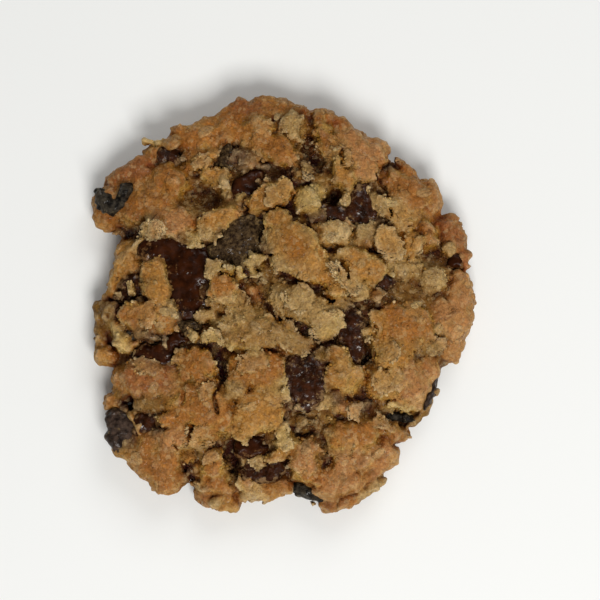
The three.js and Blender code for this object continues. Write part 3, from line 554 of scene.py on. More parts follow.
def blurred(values, radius):
    """The mean over a cube of places: running sums along each axis in turn."""
    for axis in range(3):
        ends = [(radius + 1, radius) if n == axis else (0, 0) for n in range(3)]
        sums = np.cumsum(np.pad(values, ends, mode="edge"), axis=axis, dtype=np.float64)
        count = values.shape[axis]
        ahead = np.take(sums, np.arange(2 * radius + 1, 2 * radius + 1 + count), axis=axis)
        behind = np.take(sums, np.arange(count), axis=axis)
        values = ((ahead - behind) / (2 * radius + 1)).astype(np.float32)
    return values


def skin(grid, field):
    """The points and quads of a field's zero surface, as surface nets.

    Each cell that the surface crosses holds one point, the mean of the crossings on the cell's twelve edges.
    Each grid edge that it crosses is ringed by one quad, turned to face outwards.
    """
    inside = field < 0
    cells = tuple(n - 1 for n in field.shape)
    corners = [(n & 1, n >> 1 & 1, n >> 2 & 1) for n in range(8)]
    spans = [tuple(slice(o, o + n) for o, n in zip(corner, cells)) for corner in corners]
    count = sum(inside[span].astype(np.int8) for span in spans)
    crossed = (count > 0) & (count < 8)
    number = np.full(cells, -1)
    number[crossed] = np.arange(crossed.sum())
    place = np.argwhere(crossed)
    values = [field[span][crossed] for span in spans]
    total, hits = np.zeros(place.shape), np.zeros(len(place))
    for a in range(8):
        for b in (a | 1, a | 2, a | 4):
            if a == b:
                continue
            crosses = (values[a] < 0) != (values[b] < 0)
            share = np.where(crosses, values[a] / np.where(crosses, values[a] - values[b], 1), 0)
            start, end = np.array(corners[a]), np.array(corners[b])
            total += crosses[:, None] * (start + share[:, None] * (end - start))
            hits += crosses
    points = grid.low + grid.cell * (place + total / hits[:, None])

    quads = []
    for axis in range(3):
        ahead = tuple(slice(1, None) if n == axis else slice(None) for n in range(3))
        back = tuple(slice(None, -1) if n == axis else slice(None) for n in range(3))
        edges = np.argwhere(inside[ahead] != inside[back])
        u, v = np.eye(3, dtype=int)[[(axis + 1) % 3, (axis + 2) % 3]]
        ring = np.stack([number[tuple((edges - step).T)] for step in (u + v, v, 0 * u, u)], axis=1)
        outwards = inside[tuple(edges.T)]
        quads.append(np.where(outwards[:, None], ring, ring[:, ::-1]))
    return points, np.concatenate(quads)


# ---- Meshes.


def put(mesh, points):
    """Puts points in mm into a mesh in metres, round the whole's middle."""
    mesh.vertices.foreach_set("co", ((points - (*MIDDLE, 0)) * MM).astype(np.float32).ravel())


def make_mesh(name, points, faces):
    """A mesh object from points in mm and faces with as many corners each. It sits at the origin."""
    mesh = bpy.data.meshes.new(name)
    mesh.vertices.add(len(points))
    put(mesh, points)
    mesh.loops.add(faces.size)
    mesh.loops.foreach_set("vertex_index", faces.astype(np.int32).ravel())
    mesh.polygons.add(len(faces))
    starts = np.arange(0, faces.size, faces.shape[1], dtype=np.int32)
    mesh.polygons.foreach_set("loop_start", starts)
    mesh.update(calc_edges=True)
    mesh.validate()
    mesh.shade_smooth()
    piece = bpy.data.objects.new(name, mesh)
    bpy.context.scene.collection.objects.link(piece)
    return piece


def read_points(piece):
    """A mesh's points in mm and their normals."""
    count = len(piece.data.vertices)
    points, normals = np.empty(count * 3, np.float32), np.empty(count * 3, np.float32)
    piece.data.vertices.foreach_get("co", points)
    piece.data.vertex_normals.foreach_get("vector", normals)
    return points.reshape(-1, 3) / MM + (*MIDDLE, 0), normals.reshape(-1, 3)


def thin(piece, triangles):
    """Collapses the flattest places of a mesh of quads until it has only so many triangles."""
    fewer = piece.modifiers.new("fewer", "DECIMATE")
    fewer.ratio = triangles / (2 * len(piece.data.polygons))
    graph = bpy.context.evaluated_depsgraph_get()
    done = bpy.data.meshes.new_from_object(piece.evaluated_get(graph))
    piece.modifiers.remove(fewer)
    old, piece.data = piece.data, done
    bpy.data.meshes.remove(old)
    piece.data.name = piece.name
    piece.data.shade_smooth()


def neighbours_mean(piece, values, times):
    """Values at the points of a mesh, each averaged with its neighbours', a number of times."""
    pairs = np.empty(2 * len(piece.data.edges), np.int32)
    piece.data.edges.foreach_get("vertices", pairs)
    a, b = pairs.reshape(-1, 2).T
    weight = 1 + np.bincount(a, minlength=len(values)) + np.bincount(b, minlength=len(values))
    for _ in range(times):
        total = values.astype(float).copy()
        for column in range(values.shape[1]):
            total[:, column] += np.bincount(a, values[b, column], len(values))
            total[:, column] += np.bincount(b, values[a, column], len(values))
        values = total / weight[:, None]
    return values


def paint(piece, name, colours, crumbly=1):
    """Stores a linear colour for each point of a piece, with how crumbly it is as alpha."""
    layer = piece.data.color_attributes.new(name, "FLOAT_COLOR", "POINT")
    filled = np.empty((len(colours), 4), np.float32)
    filled[:, :3], filled[:, 3] = colours, crumbly
    layer.data.foreach_set("color", filled.ravel())


# ---- The dough.

LUMPS_ALL = [seated(lump, n) for n, lump in enumerate(LUMPS)] + filling()
BARE = len(LUMPS_ALL)  # the bare dough's label, after the lumps'
KIND_NAMES = list(KINDS)
KIND_OF = np.array([KIND_NAMES.index(k) for k in [lump[9] for lump in LUMPS_ALL] + [BARE_KIND]])
ROUGHNESS = np.array([KINDS[k][2] for k in KIND_NAMES], np.float32)[KIND_OF]


def add_lump(grid, field, label, lump, number, moved, boxiness, reach):
    """Blends one swollen ellipsoid onto the field, and labels the places that are nearer to it."""
    x, y, length, width, _, half, middle, slope_x, slope_y = lump[:9]
    lean = (abs(slope_x) + abs(slope_y)) * max(length, width)
    low, high = middle - half - 2 - lean, middle + half + 2 + lean
    part = grid.around(x, y, math.hypot(length, width) + 3, low, high)
    px, py, pz = grid.places(part)
    p, q = within(lump, px + moved[0][part], py + moved[1][part])
    r = (pz + moved[2][part] - middle - slope_x * (px - x) - slope_y * (py - y)) / half
    own = ellipsoid(p, q, r, (length, width, half), boxiness)
    label[part] = np.where(own < field[part], number, label[part])
    field[part] = blend(field[part], own, reach)


def tops(grid, field):
    """The height of the highest surface under each place."""
    inside = field < 0
    high = inside.shape[2] - 1 - np.argmax(inside[:, :, ::-1], axis=2)
    high = np.clip(np.where(inside.any(axis=2), high, 0), 0, inside.shape[2] - 2)[:, :, None]
    low, over = (np.take_along_axis(field, high + n, axis=2)[:, :, 0] for n in (0, 1))
    share = np.clip(low / np.minimum(low - over, -1e-3), 0, 1)
    return grid.low[2] + grid.cell * (high[:, :, 0] + share)


def add_flakes(grid, field, moved):
    """Rolled oats in the dough's skin, and which places they take up.

    The solids' large ones lie on a sunflower's spiral, the small ones are strewn. Each lies along the
    slope of the ground round it, and there is none over chocolate or in a pit.
    """
    height = tops(grid, field)
    soft = blurred(height[:, :, None], 4)[:, :, 0]
    oats = np.full(grid.shape, 9, np.float32)
    owner = np.zeros(grid.shape, np.int16)
    step = 1.8
    for n in range(FLAKES + SMALL_FLAKES):
        large = n < FLAKES
        share = math.sqrt((n + 0.5) / FLAKES) if large else math.sqrt(draw(n, 6, 3))
        angle = n * math.pi * (3 - math.sqrt(5)) if large else 2 * math.pi * draw(n, 6, 4)
        reach = (0.9 if large else 0.97) * share * float(rim(math.cos(angle), math.sin(angle)))
        x, y = reach * math.cos(angle), reach * math.sin(angle)
        size = (0.75 + 0.5 * draw(n, 5, 1)) / 2 * (1 if large else SMALLER)
        steps = np.array(((0, 0), (step, 0), (-step, 0), (0, step), (0, -step)))
        around = [float(v) for v in grid.nearest(soft, np.array((x, y)) + steps)]
        here = float(grid.nearest(height, np.array((x, y))))
        if on_chocolate(x, y, 0.8) is not None or around[0] - here > 1:
            continue
        slopes = [(around[m] - around[m + 1]) / (2 * step) for m in (1, 3)]
        slopes = [min(STEEPEST, max(-STEEPEST, slope)) for slope in slopes]
        top = here + FLAKE_STAND * (0.4 if large else 0.7 * draw(n, 5, 7))
        length, width, turn = FLAKE_LENGTH * size, FLAKE_WIDTH * size, 360 * draw(n, 5, 2)
        flake = (x, y, length, width, turn, FLAKE_HALF, top - FLAKE_HALF, *slopes)
        add_lump(grid, oats, owner, flake, 1, moved, 2.3, 0.1)
    field[:] = blend(field, oats, 0.35)
    return (oats < 0.5) & (field > oats - 0.3)


def wanderings(place):
    """How far each place is moved, along each axis, before a lump is looked up there.

    A broad, level noise bends the lumps' outlines, and a finer one frays them. Heights move least.
    """
    x, y, _ = place
    moved = []
    for level, layer, broad, fine in ((3.5, 7, 1, 1), (41.5, 19, 1, 1), (17.5, 31, 0.3, 0.6)):
        shift = noise(x / WANDER_GRAIN, y / WANDER_GRAIN, np.float32(level)) * WANDER
        frayed = clouds(place, FRAY_GRAIN, layer) + 0.5 * clouds(place, 0.8, layer)
        moved.append(shift * broad + FRAY * fine * frayed)
    return moved


def dig_hollows(grid, field, moved):
    """Takes an upside-down lump out of the field at each hollow."""
    for hollow in HOLLOWS:
        cx, cy, length, width, _, depth = hollow
        part = grid.around(cx, cy, max(length, width) + 3, 0, 30)
        px, py, pz = grid.places(part)
        p, q = within(hollow, px + moved[0][part], py + moved[1][part])
        half = depth + 1
        r = (pz - float(dome(cx, cy)) - PIT_OVER_DOME) / half
        pit = ellipsoid(p, q, r, (length, width, half), 2.5)
        field[part] = carve(field[part], -pit, 1.6)


def cut_cracks(grid, field, moved):
    """Cuts a narrow, wandering slit along each crack, widest at its middle."""
    for x0, y0, x1, y1, depth in CRACKS:
        along = np.array((x1 - x0, y1 - y0))
        cx, cy = (x0 + x1) / 2, (y0 + y1) / 2
        part = grid.around(cx, cy, np.hypot(*along) / 2 + 2, 0, 30)
        px, py, pz = grid.places(part)
        wx, wy = (v + m[part] * 0.8 - start for v, m, start in zip((px, py), moved, (x0, y0)))
        share = np.clip((wx * along[0] + wy * along[1]) / (along @ along), 0, 1)
        away = np.hypot(wx - share * along[0], wy - share * along[1])
        gap = CRACK_WIDTH * np.sin(math.pi * (0.1 + 0.8 * share)) * min(1, depth / 3) + 0.06
        wall = np.maximum(away - gap, float(dome(cx, cy)) + 3.2 - depth - pz)
        field[part] = carve(field[part], -wall, 0.3)


def dough_field(grid):
    """The dough's distance field, which lump each place is nearest to, and where its oats are.

    The bare dough is what lies under its top, inside its rim and above the table. Each lump is a swollen
    ellipsoid, tilted to its slopes and looked up at places moved by noise, and is blended onto what is
    there. Near the surface the field then swells and sinks by noise and by packed grains, most where
    crumb is bare.
    """
    x, y, z = place = grid.places()
    moved = wanderings(place)
    radius = rim(x, y)
    reach = np.hypot(x, y) / radius
    under = np.clip((BELLY_HEIGHT - z) / BELLY_HEIGHT, 0, 1)
    over = np.clip((z - BELLY_HEIGHT) / SHOULDER, 0, 1)
    side = (reach - (1 - OVERHANG[0] * under ** 2 - OVERHANG[1] * over ** 2)) * radius
    field = carve((z - bare_top(x, y)) * 0.85, side, 4.0).astype(np.float32)
    label = np.full(grid.shape, BARE, np.int16)
    for n, lump in enumerate(LUMPS_ALL):
        boxiness = BOXINESS if n < len(LUMPS) else FILLING_BOXINESS
        add_lump(grid, field, label, lump, n, moved, boxiness, KINDS[lump[9]][3])
    oats = add_flakes(grid, field, moved)
    dig_hollows(grid, field, moved)
    cut_cracks(grid, field, moved)
    found, at = grid.near(field, 1.3)
    depth = ROUGHNESS[label[found]] * np.where(oats[found], 0.5, 1)
    swell = clouds(at, 2.2, 53) + 0.6 * clouds(at, 1.1, 67)
    packed = grains(*at, 1.7) + 0.6 * grains(at[0] + 50, *at[1:], 1.05)
    field[found] += depth * (swell + 2.6 - 2.4 * packed) + SHRINK
    field[found] += 0.26 * clouds(at, 4.2, 31) + 0.08 * clouds(at, 1.6, 83)
    field = carve(field, np.broadcast_to(z - HIGHEST, field.shape), 1.2)
    return carve(field, np.broadcast_to(-z, field.shape), 0.8), label, oats


def stains(at, sunk, broken, fine):
    """How strongly chocolate and raisins have stained each point: most beside them and in hollows."""
    stain = np.zeros(len(sunk))
    for finish, lobes in INCLUSIONS.values():
        for lobe in lobes:
            away = (np.hypot(*within(lobe, *at[:2])) - 1) * min(lobe[2:4]) + 0.7 * broken + 0.3 * fine
            stain = np.maximum(stain, (1 - smooth(-0.3, 1.9, away)) * FINISHES[finish].stain)
    return stain * smooth(-1.2, 1.0, sunk + 0.5 * fine)


def dough_colours(piece, points, normals, grid, field, label, oats):
    """Linear colours for the dough, and how crumbly each point is.

    Baked caps lie over paler torn crumb, and chocolate stains what is by it. Hollows are moist and dark,
    their darkness partly painted shade. Where much dough stands round a point, painted shade makes it
    darker and redder. Ridges are paler, partly as torn crumb and partly as a painted highlight.
    """
    at = x, y, z = points.T
    caps, crumbs = (linear(*(KINDS[k][n] for k in KIND_NAMES)) for n in (0, 1))
    kind = KIND_OF[grid.nearest(label, points)]
    soft = blurred(tops(grid, field)[:, :, None], 9)[:, :, 0]
    sunk = grid.nearest(soft, points[:, :2]) - z
    broken, fine = clouds(at, 2.3, 11), clouds(at, 0.9, 23)
    outer = np.hypot(x, y) / rim(x, y)
    cap = smooth(0.4, 0.86, normals[:, 2] + 0.2 * broken + 0.12 * fine)
    cap *= 1 - smooth(0.0, 1.6, sunk + 0.8 * broken + 0.35 * fine)
    cap = np.maximum(cap, smooth(0.92, 1.0, outer + 0.03 * broken) * 0.6)
    shades = neighbours_mean(piece, np.hstack([caps[kind], crumbs[kind]]), 4)
    colour = shades[:, 3:] + (shades[:, :3] - shades[:, 3:]) * cap[:, None]
    oat = neighbours_mean(piece, grid.nearest(oats, points).astype(float)[:, None], 1)
    colour = toward(colour, OAT_IN_DOUGH, 0.28 * oat)
    # Hollows, by how far each point lies below the blurred tops: moved towards a dark moist brown, partly as
    # moist dough and partly as painted shade.
    moist_and_painted_shade = smooth(0.8, 3.4, sunk + 0.6 * broken) * (1 - 0.8 * smooth(0.9, 0.98, outer))
    colour = toward(colour, MOIST_AND_SHADED_HOLLOW, 0.72 * moist_and_painted_shade[:, None])
    mottle = 0.8 * clouds(at, 8.5, 1) + clouds(at, 4.3, 3) + 0.6 * clouds(at, 1.7, 5) + 0.4 * fine
    colour = colour * (1 + mottle[:, None] * np.array((0.09, 0.11, 0.16)))
    crumb = (1 - cap) * (0.13 * clouds(at, 1.5, 9) + 0.09 * clouds(at, 0.8, 2))
    colour = colour * (1 + crumb[:, None])
    # Painted shade: where much solid dough stands round a point, in crevices and between lumps, its colour
    # is darkened and made redder, at three sizes.
    solid = (field < 0).astype(np.float32)
    for radius, out, low, high, most in (
            (2, 0.7, 0.12, 0.42, 0.1), (6, 1.9, 0.10, 0.46, 0.36), (13, 4.0, 0.03, 0.3, 0.3)):
        painted_crowd_shade = grid.sample(blurred(solid, radius), points + normals * out)
        painted_crowd_shade = (smooth(low, high, painted_crowd_shade) * most)[:, None]
        colour = colour ** (1 + painted_crowd_shade * np.array((0.72, 1.0, 1.3))) * (1 - 0.4 * painted_crowd_shade)
    # Ridges, where the field curves outwards: paler, partly as torn crumb and partly as a painted highlight.
    curve = grid.sample(blurred(np.clip(field, -2, 2), 2), points)
    ridge_crumb_and_highlight = smooth(0.08, 0.34, curve + 0.05 * broken) * (1 - 0.45 * cap)
    colour = toward(colour, TORN_RIDGE_AND_HIGHLIGHT, 0.6 * ridge_crumb_and_highlight[:, None])
    colour = toward(colour, CHOCOLATE_STAIN, stains(at, sunk, broken, fine)[:, None])
    under = (smooth(0.5, 0.9, -normals[:, 2]) * (z < 1.5))[:, None]
    browned = linear(BROWNED_UNDERSIDE)[0] * (1 + 0.2 * mottle[:, None])
    colour = colour + (browned - colour) * under
    return np.hstack([np.clip(colour, 0.002, 1), 1 - cap[:, None]])


# ---- Materials.

RANGE = ("Value", "From Min", "From Max", "To Min", "To Max")  # what a Map Range node takes
MIX, MIXED = (0, 6, 7), 2  # what a Mix node takes for a share and two colours, and where it gives their mix


def node(tree, kind, *inputs, **settings):
    """Adds a node with its settings. Each input is a name with its value, or with a socket to link to it."""
    made = tree.nodes.new(kind)
    for name, value in settings.items():
        setattr(made, name, value)
    for name, value in inputs:
        if isinstance(value, bpy.types.NodeSocket):
            tree.links.new(made.inputs[name], value)
        else:
            made.inputs[name].default_value = value
    return made


def relief(tree, layers):
    """The normal of bumps laid on each other. Each is a depth in mm and its node's other inputs."""
    below = []
    for deep, *inputs in layers:
        bump = node(tree, "ShaderNodeBump", ("Distance", abs(deep) * MM), *inputs, *below, invert=deep < 0)
        below = [("Normal", bump.outputs["Normal"])]
    return below[0][1]


def new_material(name):
    """A material with an empty tree."""
    material = bpy.data.materials.new(name)
    material.use_nodes = True
    material.node_tree.nodes.clear()
    return material, material.node_tree


def finish_material(tree, *inputs):
    """Ends a material's tree with its shader and its output."""
    shader = node(tree, "ShaderNodeBsdfPrincipled", *inputs)
    node(tree, "ShaderNodeOutputMaterial", ("Surface", shader.outputs["BSDF"]))


def baked_dough():
    """Baked oat dough, whose starch and sugar set in the oven.

    To the eye it is nearly matt and lets a little light in. It is packed with grains about 1.9 and 0.8 mm
    across, each in a tint of its own, with a few pale ones and a few red-brown ones, and has small pores,
    hairline cracks and faint glints where sugar has melted. The larger colours come from the points' own.
    """
    material, tree = new_material("baked_oat_dough")
    place = node(tree, "ShaderNodeTexCoord").outputs["Object"]
    own = node(tree, "ShaderNodeVertexColor", layer_name="colour").outputs
    drift, dust, swell, sugar, dry = (
        node(tree, "ShaderNodeTexNoise", ("Vector", place), ("Scale", 1 / (size * MM)),
             ("Detail", detail), ("Roughness", rough)).outputs
        for size, detail, rough in (
            (0.9, 2.0, 0.5), (0.45, 3.0, 0.6), (1.5, 2.0, 0.6), (0.5, 1.0, 0.5), (3.4, 1.0, 0.5)))
    shift = node(tree, "ShaderNodeVectorMath", (0, drift["Color"]), (1, (1.1 * MM,) * 3), (2, place),
                 operation="MULTIPLY_ADD").outputs["Vector"]
    big, small, split = (
        node(tree, "ShaderNodeTexVoronoi", ("Vector", shift), ("Scale", 1 / (size * MM)),
             feature=feature).outputs
        for size, feature in ((1.9, "F1"), (0.8, "F1"), (3.6, "DISTANCE_TO_EDGE")))
    big_tint, small_tint = (
        node(tree, "ShaderNodeSeparateColor", ("Color", grain["Color"])).outputs for grain in (big, small))
    # The last tone darkens each small grain towards its edges, in the grooves between grains: painted shade.
    hairline, cracked, shine, melted, *tones = (
        node(tree, "ShaderNodeMapRange", *zip(RANGE, values)).outputs["Result"] for values in (
            (split["Distance"], 0.0, 0.03, 1, 0), (dry["Fac"], 0.59, 0.69, 0, 1),
            (dust["Fac"], 0.35, 0.65, 0.75, 0.4), (sugar["Fac"], 0.6, 0.68, 0, 0.9),
            (big_tint["Red"], 0, 1, 0.92, 1.08), (small_tint["Red"], 0, 1, 0.87, 1.13),
            (dust["Fac"], 0.3, 0.7, 0.72, 1.28), (swell["Fac"], 0.3, 0.7, 0.88, 1.12),
            (small["Distance"], 0.45, 0.8, 1.03, 0.87)))
    crack = node(tree, "ShaderNodeMath", (0, hairline), (1, cracked), operation="MULTIPLY").outputs["Value"]
    tone = tones[0]
    for other in tones[1:]:
        tone = node(tree, "ShaderNodeMath", (0, tone), (1, other), operation="MULTIPLY").outputs["Value"]
    tinted = node(tree, "ShaderNodeVectorMath", (0, own["Color"]), ("Scale", tone),
                  operation="SCALE").outputs["Vector"]
    for value, low, high, most, shade in (
            (small_tint["Green"], 0.75, 0.95, 0.26, "#C4AA7A"),
            (small_tint["Blue"], 0.84, 0.98, 0.26, "#5A2E0C"),
            (big_tint["Green"], 0.72, 0.95, 0.14, "#B08E50"), (crack, 0, 1, 0.6, "#4A260C")):
        share = node(tree, "ShaderNodeMapRange", *zip(RANGE, (value, low, high, 0, most)))
        mix = zip(MIX, (share.outputs["Result"], tinted, (*linear(shade)[0], 1)))
        tinted = node(tree, "ShaderNodeMix", *mix, data_type="RGBA").outputs[MIXED]
    layers = []
    for height, deep, least in (
            (swell["Fac"], 0.42, 0.6), (big["Distance"], -0.22, 0.1), (small["Distance"], -0.26, 0.45),
            (crack, -0.2, 1.0), (dust["Fac"], 0.36, 0.9)):
        strength = node(tree, "ShaderNodeMapRange", *zip(RANGE, (own["Alpha"], 0, 1, least, 1)))
        layers.append((deep, ("Height", height), ("Strength", strength.outputs["Result"])))
    normal = relief(tree, layers)
    finish_material(
        tree, ("Base Color", tinted), ("Roughness", shine), ("Specular IOR Level", 0.16),
        ("Coat Weight", melted), ("Coat Roughness", 0.12), ("Normal", normal), ("Coat Normal", normal),
        ("Subsurface Weight", 0.3), ("Subsurface Radius", (0.9, 0.6, 0.35)),
        ("Subsurface Scale", 0.9 * MM))
    return material


def glazed(name, size, shades, span, shine, bumps, coat, dust, crumb):
    """A material of two shades that a noise of a size in mm mixes, with its roughness and its bumps in mm.

    The coat is a thin clear film, in patches, that catches the light in sharp glints. Specks of dust in
    the crumb's colour lie on it, more of them where the points' own dust is high, near the edges.
    """
    material, tree = new_material(name)
    place = node(tree, "ShaderNodeTexCoord").outputs["Object"]
    own = node(tree, "ShaderNodeVertexColor", layer_name="dust").outputs["Color"]
    cloud, speck, film, glint, *ripples = (
        node(tree, "ShaderNodeTexNoise", ("Vector", place), ("Scale", 1 / (grain * MM)),
             ("Detail", detail), ("Roughness", rough), ("Distortion", bend)).outputs["Fac"]
        for grain, detail, rough, bend in (
            (size, 5.0, 0.62, 0), (1.5, 4.0, 0.72, 0), (1.7, 2.0, 0.5, 0), (0.7, 1.0, 0.5, 0),
            *((grain, 2.0, 0.5, 0.8) for grain, _ in bumps)))
    ramp = node(tree, "ShaderNodeValToRGB", ("Fac", cloud))
    for element, at, shade in zip(ramp.color_ramp.elements, span, linear(*shades)):
        element.position, element.color = at, (*shade, 1)
    amount = node(tree, "ShaderNodeMath", (0, own), (1, 0.16), (2, speck), operation="MULTIPLY_ADD")
    covered, dull, filmed = (
        node(tree, "ShaderNodeMapRange", *zip(RANGE, values)).outputs["Result"] for values in (
            (amount.outputs["Value"], 0.66 - dust, 0.76 - dust, 0, 0.85), (cloud, *span, *shine),
            (film, 0.5, 0.6, 0, coat)))
    mix = zip(MIX, (covered, ramp.outputs["Color"], (*linear(crumb)[0], 1)))
    colour = node(tree, "ShaderNodeMix", *mix, data_type="RGBA").outputs[MIXED]
    layers = [(deep, ("Height", ripple)) for ripple, (_, deep) in zip(ripples, bumps)]
    finish_material(
        tree, ("Base Color", colour), ("Roughness", dull), ("Specular IOR Level", 0.05),
        ("Coat Weight", filmed), ("Coat Roughness", 0.06), ("Normal", relief(tree, layers)),
        ("Coat Normal", relief(tree, [(0.2, ("Height", glint))])))
    return material


# The material of each finish, in the order that glazed takes.
GLAZES = {
    # Milk chocolate that melted and set again: dark, red-brown where thin, wet-looking, with small glints.
    "melted": ("melted_chocolate", 2.6, ("#190802", "#3C1B08"), (0.36, 0.72), (0.2, 0.34),
               ((2.4, 0.3),), 0.35, 0.015, "#6E4E2E"),
    # The same chocolate in smaller bits, which crumbs and crumb dust have stuck to while it was wet.
    "dusty": ("dusty_chocolate", 1.6, ("#190902", "#40200E"), (0.36, 0.72), (0.2, 0.4),
              ((1.6, 0.4), (0.6, 0.15)), 0.6, 0.05, "#7C6040"),
    # Chocolate with bloom: cocoa butter and crumb dust in a dry, grey-brown film over a dark piece.
    "bloomed": ("bloomed_chocolate", 0.7, ("#1E1108", "#5E4A30"), (0.38, 0.72), (0.5, 0.8),
                ((1.2, 0.5), (0.5, 0.4)), 0.3, 0.04, "#7C6440"),
    # Raisin skin: near black with a greyish film on its ridges, and a soft shine.
    "raisin": ("raisin_skin", 1.2, ("#120E0B", "#4E463A"), (0.4, 0.76), (0.35, 0.55),
               ((1.0, 0.6), (0.45, 0.2)), 0.35, -0.03, "#6E6248"),
    # A raisin's skin where dough has dried on it: grey-brown over near black, and dull.
    "dusted": ("dusted_raisin", 1.6, ("#1E1511", "#4E3E34"), (0.38, 0.7), (0.35, 0.6),
               ((1.8, 0.6), (0.6, 0.25)), 0.35, 0.0, "#7A6444"),
}

# ---- Pieces.


def finish_piece(piece, material, slot, *nodes):
    """Gives a piece its material and ties it to the frame."""
    piece.data.materials.append(material)
    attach(piece, "root")
    if nodes:
        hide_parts(*nodes)
    return piece


Dough = namedtuple("Dough", "points normals shades height_at")  # height_at takes x and y


def make_dough(material):
    """The dough's piece. What this returns is for the oats and the crumbs that lie on it."""
    grid = Grid(*GRID, CELL)
    field, label, oats = dough_field(grid)
    piece = make_mesh("dough_top_and_sides", *skin(grid, field))
    thin(piece, TRIANGLES)
    points, normals = read_points(piece)
    colours = dough_colours(piece, points, normals, grid, field, label, oats)
    grit = GRIT * clouds(points.T, 0.8) * (points[:, 2] > 0.3)
    put(piece.data, points + normals * grit[:, None])
    piece.data.update()
    paint(piece, "colour", neighbours_mean(piece, colours[:, :3], 1), colours[:, 3])
    finish_piece(piece, material, "dough", "dough")
    heights = tops(grid, field)
    return Dough(points, normals, colours, lambda x, y: grid.nearest(heights, np.stack([x, y], axis=-1)))


def make_inclusion(name, finish, lobes, material):
    """One chocolate or raisin: its lobes blended, with lumps on chocolate and folds in a raisin's skin.

    Its dust, for the material, grows from the middle of its lobes to their edges.
    """
    looks = FINISHES[finish]
    reach = max(max(lobe[2:4]) for lobe in lobes) + 3
    xs, ys = [lobe[0] for lobe in lobes], [lobe[1] for lobe in lobes]
    heights = [float(dome(lobe[0], lobe[1])) + lobe[5] - looks.sink for lobe in lobes]
    lobes = [grown(lobe, looks.spread) for lobe in lobes]
    low = (min(xs) - reach, min(ys) - reach, min(heights) - 2 * INCLUSION_HALF_THICKNESS - 1)
    high = (max(xs) + reach, max(ys) + reach, max(heights) + 1.8)
    grid = Grid(low, high, INCLUSION_CELL)
    x, y, z = grid.places()
    drift = [
        looks.wander * noise(x / 2.4, y / 2.4, z / 4 + layer)
        + 0.4 * looks.wander * noise(x / 0.9, y / 0.9, z / 2 + layer)
        for layer in (2, 13, 29)
    ]
    field = np.full(grid.shape, 9, np.float32)
    for lobe, top in zip(lobes, heights):
        p, q = within(lobe, x + drift[0], y + drift[1])
        r = (z + 0.12 * drift[2] - top + INCLUSION_HALF_THICKNESS) / INCLUSION_HALF_THICKNESS
        sizes = (*lobe[2:4], INCLUSION_HALF_THICKNESS)
        field = blend(field, ellipsoid(p, q, r, sizes, looks.boxiness), 0.8)
    found, at = grid.near(field, 1.2)
    if looks.lumpy is None:
        px, py, pz = at
        along, across = 0.8 * px + 0.6 * py, 0.8 * py - 0.6 * px
        fine = noise(along / 1.1, across / 0.8, pz / 0.9)
        folds = np.abs(noise(along / 2.6, across / 1.5, pz / 2 + 5) + 0.4 * fine)
        field[found] += FOLD_DEPTH * (0.4 - folds)
    else:
        lumps = clouds(at, 1.6, 8) + 0.5 * clouds(at, 0.8, 8)
        field[found] += looks.lumpy * (lumps + 1.0 - 1.3 * grains(*at, 1.6))
    piece = make_mesh(name.replace("chocolate", "choc") + "_piece", *skin(grid, field))
    px, py, _ = read_points(piece)[0].T
    edge = np.min([np.hypot(*within(lobe, px, py)) for lobe in lobes], axis=0)
    dusty = smooth(0.35, 1.1, edge + 0.3 * noise(px / 1.4, py / 1.4, np.float32(4.5)))
    paint(piece, "dust", np.repeat(dusty[:, None], 3, axis=1))
    return finish_piece(piece, material, looks.slot, name)


def turned_faces(rows, spokes):
    """The triangles of a surface with a pole at each end and rows of points, one on each spoke, between."""
    last = 1 + rows * spokes
    ring, j = np.arange(rows)[:, None] * spokes + 1, np.arange(spokes)
    k = (j + 1) % spokes
    a, b, c, d = ring[:-1] + j, ring[:-1] + k, ring[1:] + j, ring[1:] + k
    first, end = (0 * j, 1 + j, 1 + k), (ring[-1] + j, last + 0 * j, ring[-1] + k)
    parts = [np.stack(part, axis=-1).reshape(-1, 3) for part in (first, (a, c, d), (a, d, b), end)]
    return np.concatenate(parts)


def copies(faces, shapes):
    """The faces of many shapes with the same faces, whose points follow each other."""
    count, corners = shapes.shape[:2]
    return (faces[None] + (np.arange(count) * corners)[:, None, None]).reshape(-1, 3)


